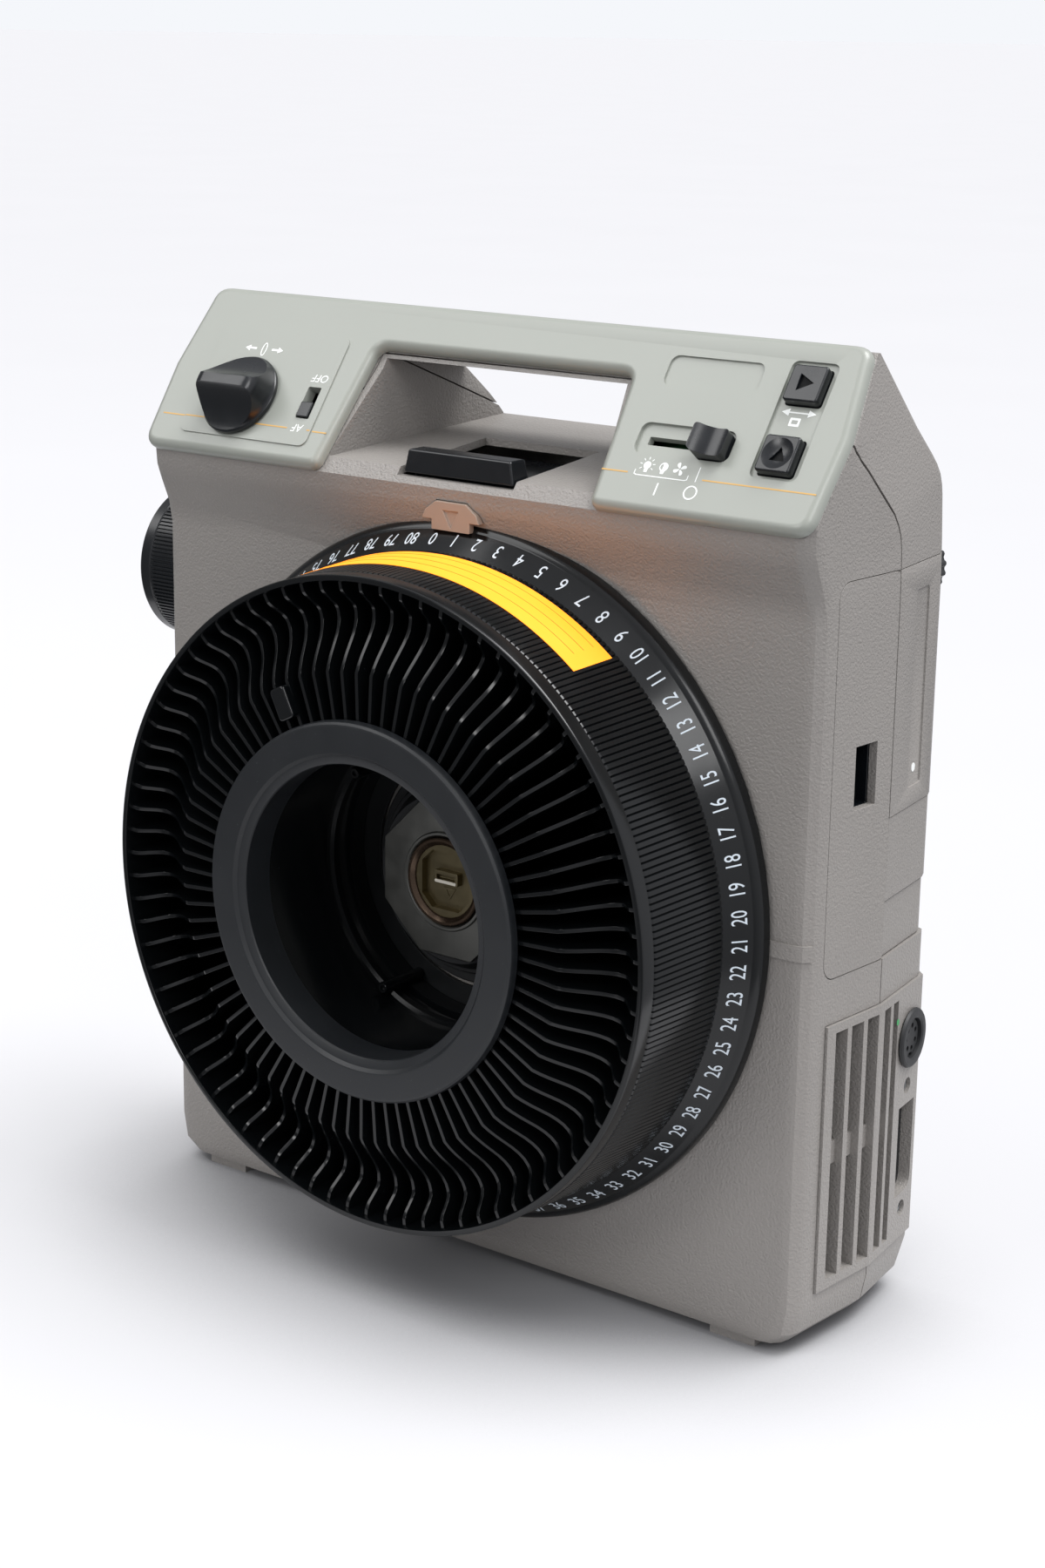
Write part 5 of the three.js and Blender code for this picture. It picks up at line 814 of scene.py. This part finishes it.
def ringPrint(name, x, y, outer, inner, ground="panelTop", squeeze=1):
    piece = printed(name, [(x + px * squeeze, y + py) for px, py in circle(0, 0, outer, 36)], ground)
    innerSqueeze = (squeeze * outer - (outer - inner)) / inner
    hole = [(x + px * innerSqueeze, y + py) for px, py in circle(0, 0, inner, 36)]
    return cutOut(piece, slabPiece("inner", hole, 0, 6))


# Lens symbol with an arrow on each side
whitePieces = [ringPrint("lensMark", knobX, 38.9, 2.7, 2.3, "plateTop", 0.42)]
for sign in (-1, 1):
    tip, barb, tail = (knobX + sign * reach for reach in (8.9, 6.6, 3.6))
    whitePieces.append(printed("arrow", [
        (tip, 39), (barb, 40.2), (barb, 39.4), (tail, 39.4), (tail, 38.6), (barb, 38.6), (barb, 37.8)],
        "plateTop"))
# Two-way arrow and square between the buttons
whitePieces.append(printed("twoWay", [
    (111.2, 37.7), (114, 39), (114, 37.95), (120.9, 37.95), (120.9, 39), (123.7, 37.7), (120.9, 36.4),
    (120.9, 37.45), (114, 37.45), (114, 36.4)], "recessFloor"))
square = printed("square", rounded(115.2, 119, 32.9, 35.9, 0.2, 1), "recessFloor")
whitePieces.append(cutOut(square, slabPiece("inner", rounded(116, 118.2, 33.7, 35.1, 0.1, 1), 0, 6)))
# Lamp, half lamp and fan symbols over a bracket, then off and on
icon = {"lampX": 71.7, "dimX": 78, "fanX": 84.1, "y": 13.2, "bulb": 1.35, "foot": 2.5, "footHalf": 0.6,
        "rays": (2, 2.9), "rayWidth": 0.28, "fanReach": 2.3, "fanWidth": 0.85}


def bulbOutline(x, radius):
    return arc(x, icon["y"], radius, -60, 240, 24) + [
        (x - icon["footHalf"], icon["y"] - icon["foot"]), (x + icon["footHalf"], icon["y"] - icon["foot"])]


whitePieces.append(printed("lampBulb", bulbOutline(icon["lampX"], icon["bulb"])))
for turn in range(-30, 211, 40):
    away = Vector((math.cos(turn * degree), math.sin(turn * degree)))
    start, end = (Vector((icon["lampX"], icon["y"])) + away * reach for reach in icon["rays"])
    whitePieces.append(printed("ray", line(*start, *end, icon["rayWidth"])))
dimLamp = printed("dimLamp", bulbOutline(icon["dimX"], icon["bulb"] + 0.25))
cutOut(dimLamp, slabPiece("inner", arc(icon["dimX"] - 0.3, icon["y"], 1, 90, 270, 12), 0, 6))
whitePieces.append(dimLamp)
bladeTip = (icon["fanReach"], icon["fanWidth"] * 0.7)
bladeOutline = [(0.25, 0.1)] + bend((0.25, 0.1), (icon["fanReach"] * 0.6, icon["fanWidth"] + 0.5), bladeTip)
bladeOutline += bend(bladeTip, (icon["fanReach"] + 0.4, -0.6), (icon["fanReach"] * 0.7, -0.35))
bladeOutline += [(0.3, -0.15)]
fanMark = ringOf(printed("blade", bladeOutline), [20, 110, 200, 290])
whitePieces.append(applyPlace(moved(fanMark, icon["fanX"], icon["y"])))
whitePieces.append(printed("bracket", [
    (67.8, 11.4), (67.8, 9.7), (68.8, 9.3), (87.2, 9.3), (88.2, 9.7), (88.2, 11.4), (87.9, 11.4),
    (87.9, 9.9), (87, 9.65), (69, 9.65), (68.1, 9.9), (68.1, 11.4)]))
whitePieces.append(printed("divider", line(91.3, 9.4, 91.3, 14.7, 0.35)))
whitePieces.append(printed("on", line(78.3, 3.1, 78.3, 7.5, 0.55)))
whitePieces.append(ringPrint("off", 91.1, 5.6, 2.5, 2.0))
for words, x, y in (("OFF", -73.4, 30), ("AF", -74, 10.2)):
    text = centredText(words, 4.2, prints["rise"] / 2)
    text.data.shear = 0.15
    bpy.ops.object.convert(target="MESH")
    mark = moved(bpy.context.object, x, y, prints["plateTop"] + prints["rise"] / 2, 180)
    whitePieces.append(applyPlace(mark))
setOn(joinAll("panel_marks", whitePieces), "panel", "projector", "whiteInk")
goldPieces = [printed("gold", line(*ends, 0.5), ground) for ends, ground in (
    ((-138.3, 9.7, -127.6, 9.7), "panelTop"), ((-126.8, 9.7, -78.6, 9.7), "plateTop"),
    ((-69.6, 9.7, -68.2, 9.7), "plateTop"), ((-67.4, 9.7, -61, 9.7), "panelTop"),
    ((55.4, 10, 65.5, 10), "panelTop"), ((93.6, 10.4, 135, 10.4), "panelTop"))]
setOn(joinAll("panel_gold_line", goldPieces), "panel", "projector", "goldInk")
print("prints made")

# Projection lens: a smooth front ring, a ribbed barrel and its glass
lens = {
    "ribs": 120, "ribRadius": 28.95, "ribFront": 164.9, "ribLong": 30, "ribDepth": 0.65, "ribEdge": 0.75,
    "ribEdgeHigh": 0.7, "glassRadius": 22, "glassFront": 167.4, "glassBack": 157.5, "glassBulge": 3.4,
}
barrel = turnPiece("barrel", [
    (24.6, 78), (28.2, 78), (28.2, 164.6), (28.6, 165.2), (28.6, 169.2), (28.1, 169.9), (27.4, 170),
    (26.3, 169.6), (25.2, 168.6), (23.6, 166.4), (22.4, 166), (22.4, 157.2), (24.6, 157), (24.6, 78)], 120)
edgeOut = lens["ribRadius"] / (lens["ribRadius"] - lens["ribEdge"])
barrelRibs = ribbedSleeve(lens["ribs"], lens["ribRadius"], lens["ribFront"], (3, 4, 5), lens["ribDepth"],
                          lens["ribEdge"], ((lens["ribEdgeHigh"], edgeOut), (lens["ribLong"], 1)))
setOn(joinAll("lens_tube", [barrel, barrelRibs]), "lens", "lens", "controlAbs",
      ["lens_barrel"], 30)
glassSide = [(lens["glassRadius"] * share, lens["glassFront"] - lens["glassBulge"] * share ** 2)
             for share in [i / 10 for i in range(11)]]
glassSide += [(lens["glassRadius"], lens["glassBack"]), (0, lens["glassBack"])]
frontGlass = turnPiece("front_lens", glassSide, 96)
setOn(frontGlass, "lens", "lens", "coatedGlass", ["lens_front_glass"], 30)
print("lens made")

# Lamp module's upper cover, with a shallow recess and a dot; it starts as a copy of its CAD node
plainCover = copyOf(frame["nodes"]["lamp_module_cover"], Matrix.Identity(4))
plainCover.name = "module_cover"
plainCover.parent = None
for key in list(plainCover.keys()):
    del plainCover[key]
choose(plainCover)
bpy.ops.object.mode_set(mode="EDIT")
closeUp()
recess = slabPiece("recess", rounded(14.6, 25.4, 186, 252.5, 1.5), -0.6, 3)
recess.matrix_world = benches["rearSide"] @ recess.matrix_world
cutOut(plainCover, applyPlace(recess))
roundEdges(plainCover, 0.3, 2, 40)
choose(plainCover)
bpy.ops.object.shade_smooth_by_angle(angle=30 * degree)
plainCover.data.materials.clear()
plainCover.data.materials.append(finishes["texturedAbs"])
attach(plainCover, "lamp_module")
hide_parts("lamp_module_cover")
dot = slabPiece("module_dot", circle(20.2, 192, 1.5, 18), -0.62, -0.5)
setOn(dot, "rearSide", "lamp_module", "whiteInk")

# Remote control socket, its green dot, and the two screws of the grille
socket = {"across": 26.6, "high": 95.5, "pins": 7, "pinCircle": 4.2, "pinHole": 1.0, "screws": (32.6, 77.9)}
shellRing = turnPiece("remote_ring", [
    (7, -9), (8, -9), (8, 1.3), (10.3, 1.3), (10.5, 1.6), (10.2, 2.5), (9.7, 2.9), (7.6, 2.9), (7, 2.4),
    (7, -9)], 72)
moved(shellRing, socket["across"], socket["high"])
setOn(shellRing, "rearSide", "projector", "darkPlastic", ["remote_socket"], 30)
insert = turnPiece("remote_insert", [(0, -5.7), (6.6, -5.7), (6.6, 1.1), (6.3, 1.4), (0, 1.4)], 48)
for i in range(socket["pins"]):
    turn = (i + 0.5) * 360 / socket["pins"] * degree
    pinX, pinY = socket["pinCircle"] * math.cos(turn), socket["pinCircle"] * math.sin(turn)
    cutOut(insert, slabPiece("hole", circle(pinX, pinY, socket["pinHole"], 12), -1, 4))
cutOut(insert, slabPiece("key", oblong(-1.2, 1.2, -7, -5.4), -1, 4))
moved(insert, socket["across"], socket["high"])
setOn(insert, "rearSide", "projector", "darkPlastic", ["remote_socket_pins"], 30)
dot = slabPiece("socket_dot", circle(14.9, 104.5, 1.1, 18), 1.0, 1.1)
setOn(dot, "rearSide", "projector", "greenInk")
for i, high in enumerate(socket["screws"]):
    screw = turnPiece(f"side_screw_{i + 1}", [
        (0, -3.4), (2.5, -3.4), (2.5, -0.6), (2.2, -0.2), (1.2, 0), (0, 0.05)], 32)
    cutOut(screw, slabPiece("slot", oblong(-3, 3, -0.35, 0.35), -0.9, 1))
    roundEdges(screw, 0.08, 2, 50)
    moved(screw, socket["across"], high, turn=25 + 50 * i)
    setOn(screw, "rearSide", "projector", "zincPlate", [f"grille_screw_{i + 1}"], 30)
print("side details made")

# Floor, light and camera
# The paper glows by itself, less where the object shades it, and ends just outside the picture
studio = {
    "eye": (0.57925, -0.73423, 0.42799), "heading": 37.1876, "tilt": 74.5588, "roll": -0.8058,
    "lensMm": 63.606, "nearMm": 600, "farMm": 70000, "spread": 0.215, "marginMm": 130, "glow": 0.53,
    "shadeMm": 120, "room": (0.25, 1), "brightSide": (0.66, 0.05, 0.75),
}
paperEdge = [(side * (along * studio["spread"] + studio["marginMm"]), along) for side, along in
             ((1, studio["nearMm"]), (1, studio["farMm"]), (-1, studio["farMm"]), (-1, studio["nearMm"]))]
floor = pushLine("studio_floor", [(x, y, 0) for x, y in paperEdge])
bpy.ops.mesh.edge_face_add()
bpy.ops.object.mode_set(mode="OBJECT")
floor.matrix_world = (Matrix.Translation((*studio["eye"][:2], 0))
                      @ Matrix.Rotation(studio["heading"] * degree, 4, "Z"))
applyPlace(floor)
paper, paperShader, paperWhere = newMaterial("studio_paper_white", {
    "Roughness": 0.9, "Specular IOR Level": 0.1, "Emission Color": colour("#f7f7fa")})
hidden = addNode(paper, "ShaderNodeAmbientOcclusion", {"Distance": studio["shadeMm"] * mm})
glow = addNode(paper, "ShaderNodeMapRange", {"From Min": 0.3, "From Max": 0.85, "To Max": studio["glow"]},
               {"Value": hidden.outputs["AO"]})
connect(paper, glow.outputs["Result"], paperShader, "Emission Strength")
paperTone = addNode(paper, "ShaderNodeTexNoise", {"Scale": 3, "Detail": 2}, {"Vector": paperWhere})
paperMix = addNode(paper, "ShaderNodeMix", {"data_type": "RGBA", 6: colour("#8b8b8d"), 7: colour("#8f8f91")},
                   {0: paperTone.outputs["Fac"]})
connect(paper, paperMix.outputs[2], paperShader, "Base Color")
floor.data.materials.append(paper)
floor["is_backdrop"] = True

# The surroundings light the object dimly, while the camera sees them as a pale backdrop
world = bpy.data.worlds.new("studio")
bpy.context.scene.world = world
world.use_nodes = True
room = world.node_tree.nodes["Background"]
room.inputs["Color"].default_value = colour("#f1f2f7")
way = addNode(world, "ShaderNodeTexCoord", {}).outputs["Generated"]
towards = addNode(world, "ShaderNodeVectorMath", {"operation": "DOT_PRODUCT", 1: studio["brightSide"]},
                  {0: way})
dim, bright = studio["room"]
strength = addNode(world, "ShaderNodeMapRange",
                   {"From Min": -0.3, "From Max": 1, "To Min": dim, "To Max": bright},
                   {"Value": towards.outputs["Value"]})
connect(world, strength.outputs["Result"], room, "Strength")
backdrop = addNode(world, "ShaderNodeBackground", {"Color": colour("#f5f7fb"), "Strength": 1})
seen = addNode(world, "ShaderNodeLightPath", {})
both = addNode(world, "ShaderNodeMixShader", {}, {0: seen.outputs["Is Camera Ray"], 1: room.outputs[0],
                                                 2: backdrop.outputs[0]})
connect(world, both.outputs[0], world.node_tree.nodes["World Output"], "Surface")

# Each light has its place, the way back from the object to it, and what it is set to
lights = {
    "overhead_softbox": ("SUN", (1, 0, 2), (0.36, 0.2, 1), {"energy": 3.2, "angle": 36 * degree}),
    "front_left_window": ("AREA", (-1.2, -0.95, 1.95), (-1.2, -0.95, 1.7), {"energy": 18, "size": 1.4}),
    "front_fill": ("AREA", (-0.5, -2.2, 1.1), (-0.5, -2.2, 0.95), {"energy": 13, "size": 0.8}),
    "right_softbox": ("AREA", (1.5, -0.9, 1.5), (1.5, -0.9, 1.3), {"energy": 10, "size": 0.8}),
}
for name, (kind, place, back, settings) in lights.items():
    bpy.ops.object.light_add(type=kind, location=place)
    light = bpy.context.object
    light.name = name
    light.rotation_euler = Vector(back).to_track_quat("Z", "Y").to_euler()
    for setting, value in settings.items():
        setattr(light.data, setting, value)

bpy.ops.object.camera_add(location=studio["eye"])
camera = bpy.context.object
camera.rotation_euler = (studio["tilt"] * degree, studio["roll"] * degree, studio["heading"] * degree)
camera.data.sensor_width = 36
camera.data.lens = studio["lensMm"]
camera.data.clip_start = 0.01
camera.data.clip_end = 100
bpy.context.scene.camera = camera
bpy.context.scene.view_settings.view_transform = "Standard"
print("stage, light and camera set")

low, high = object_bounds()
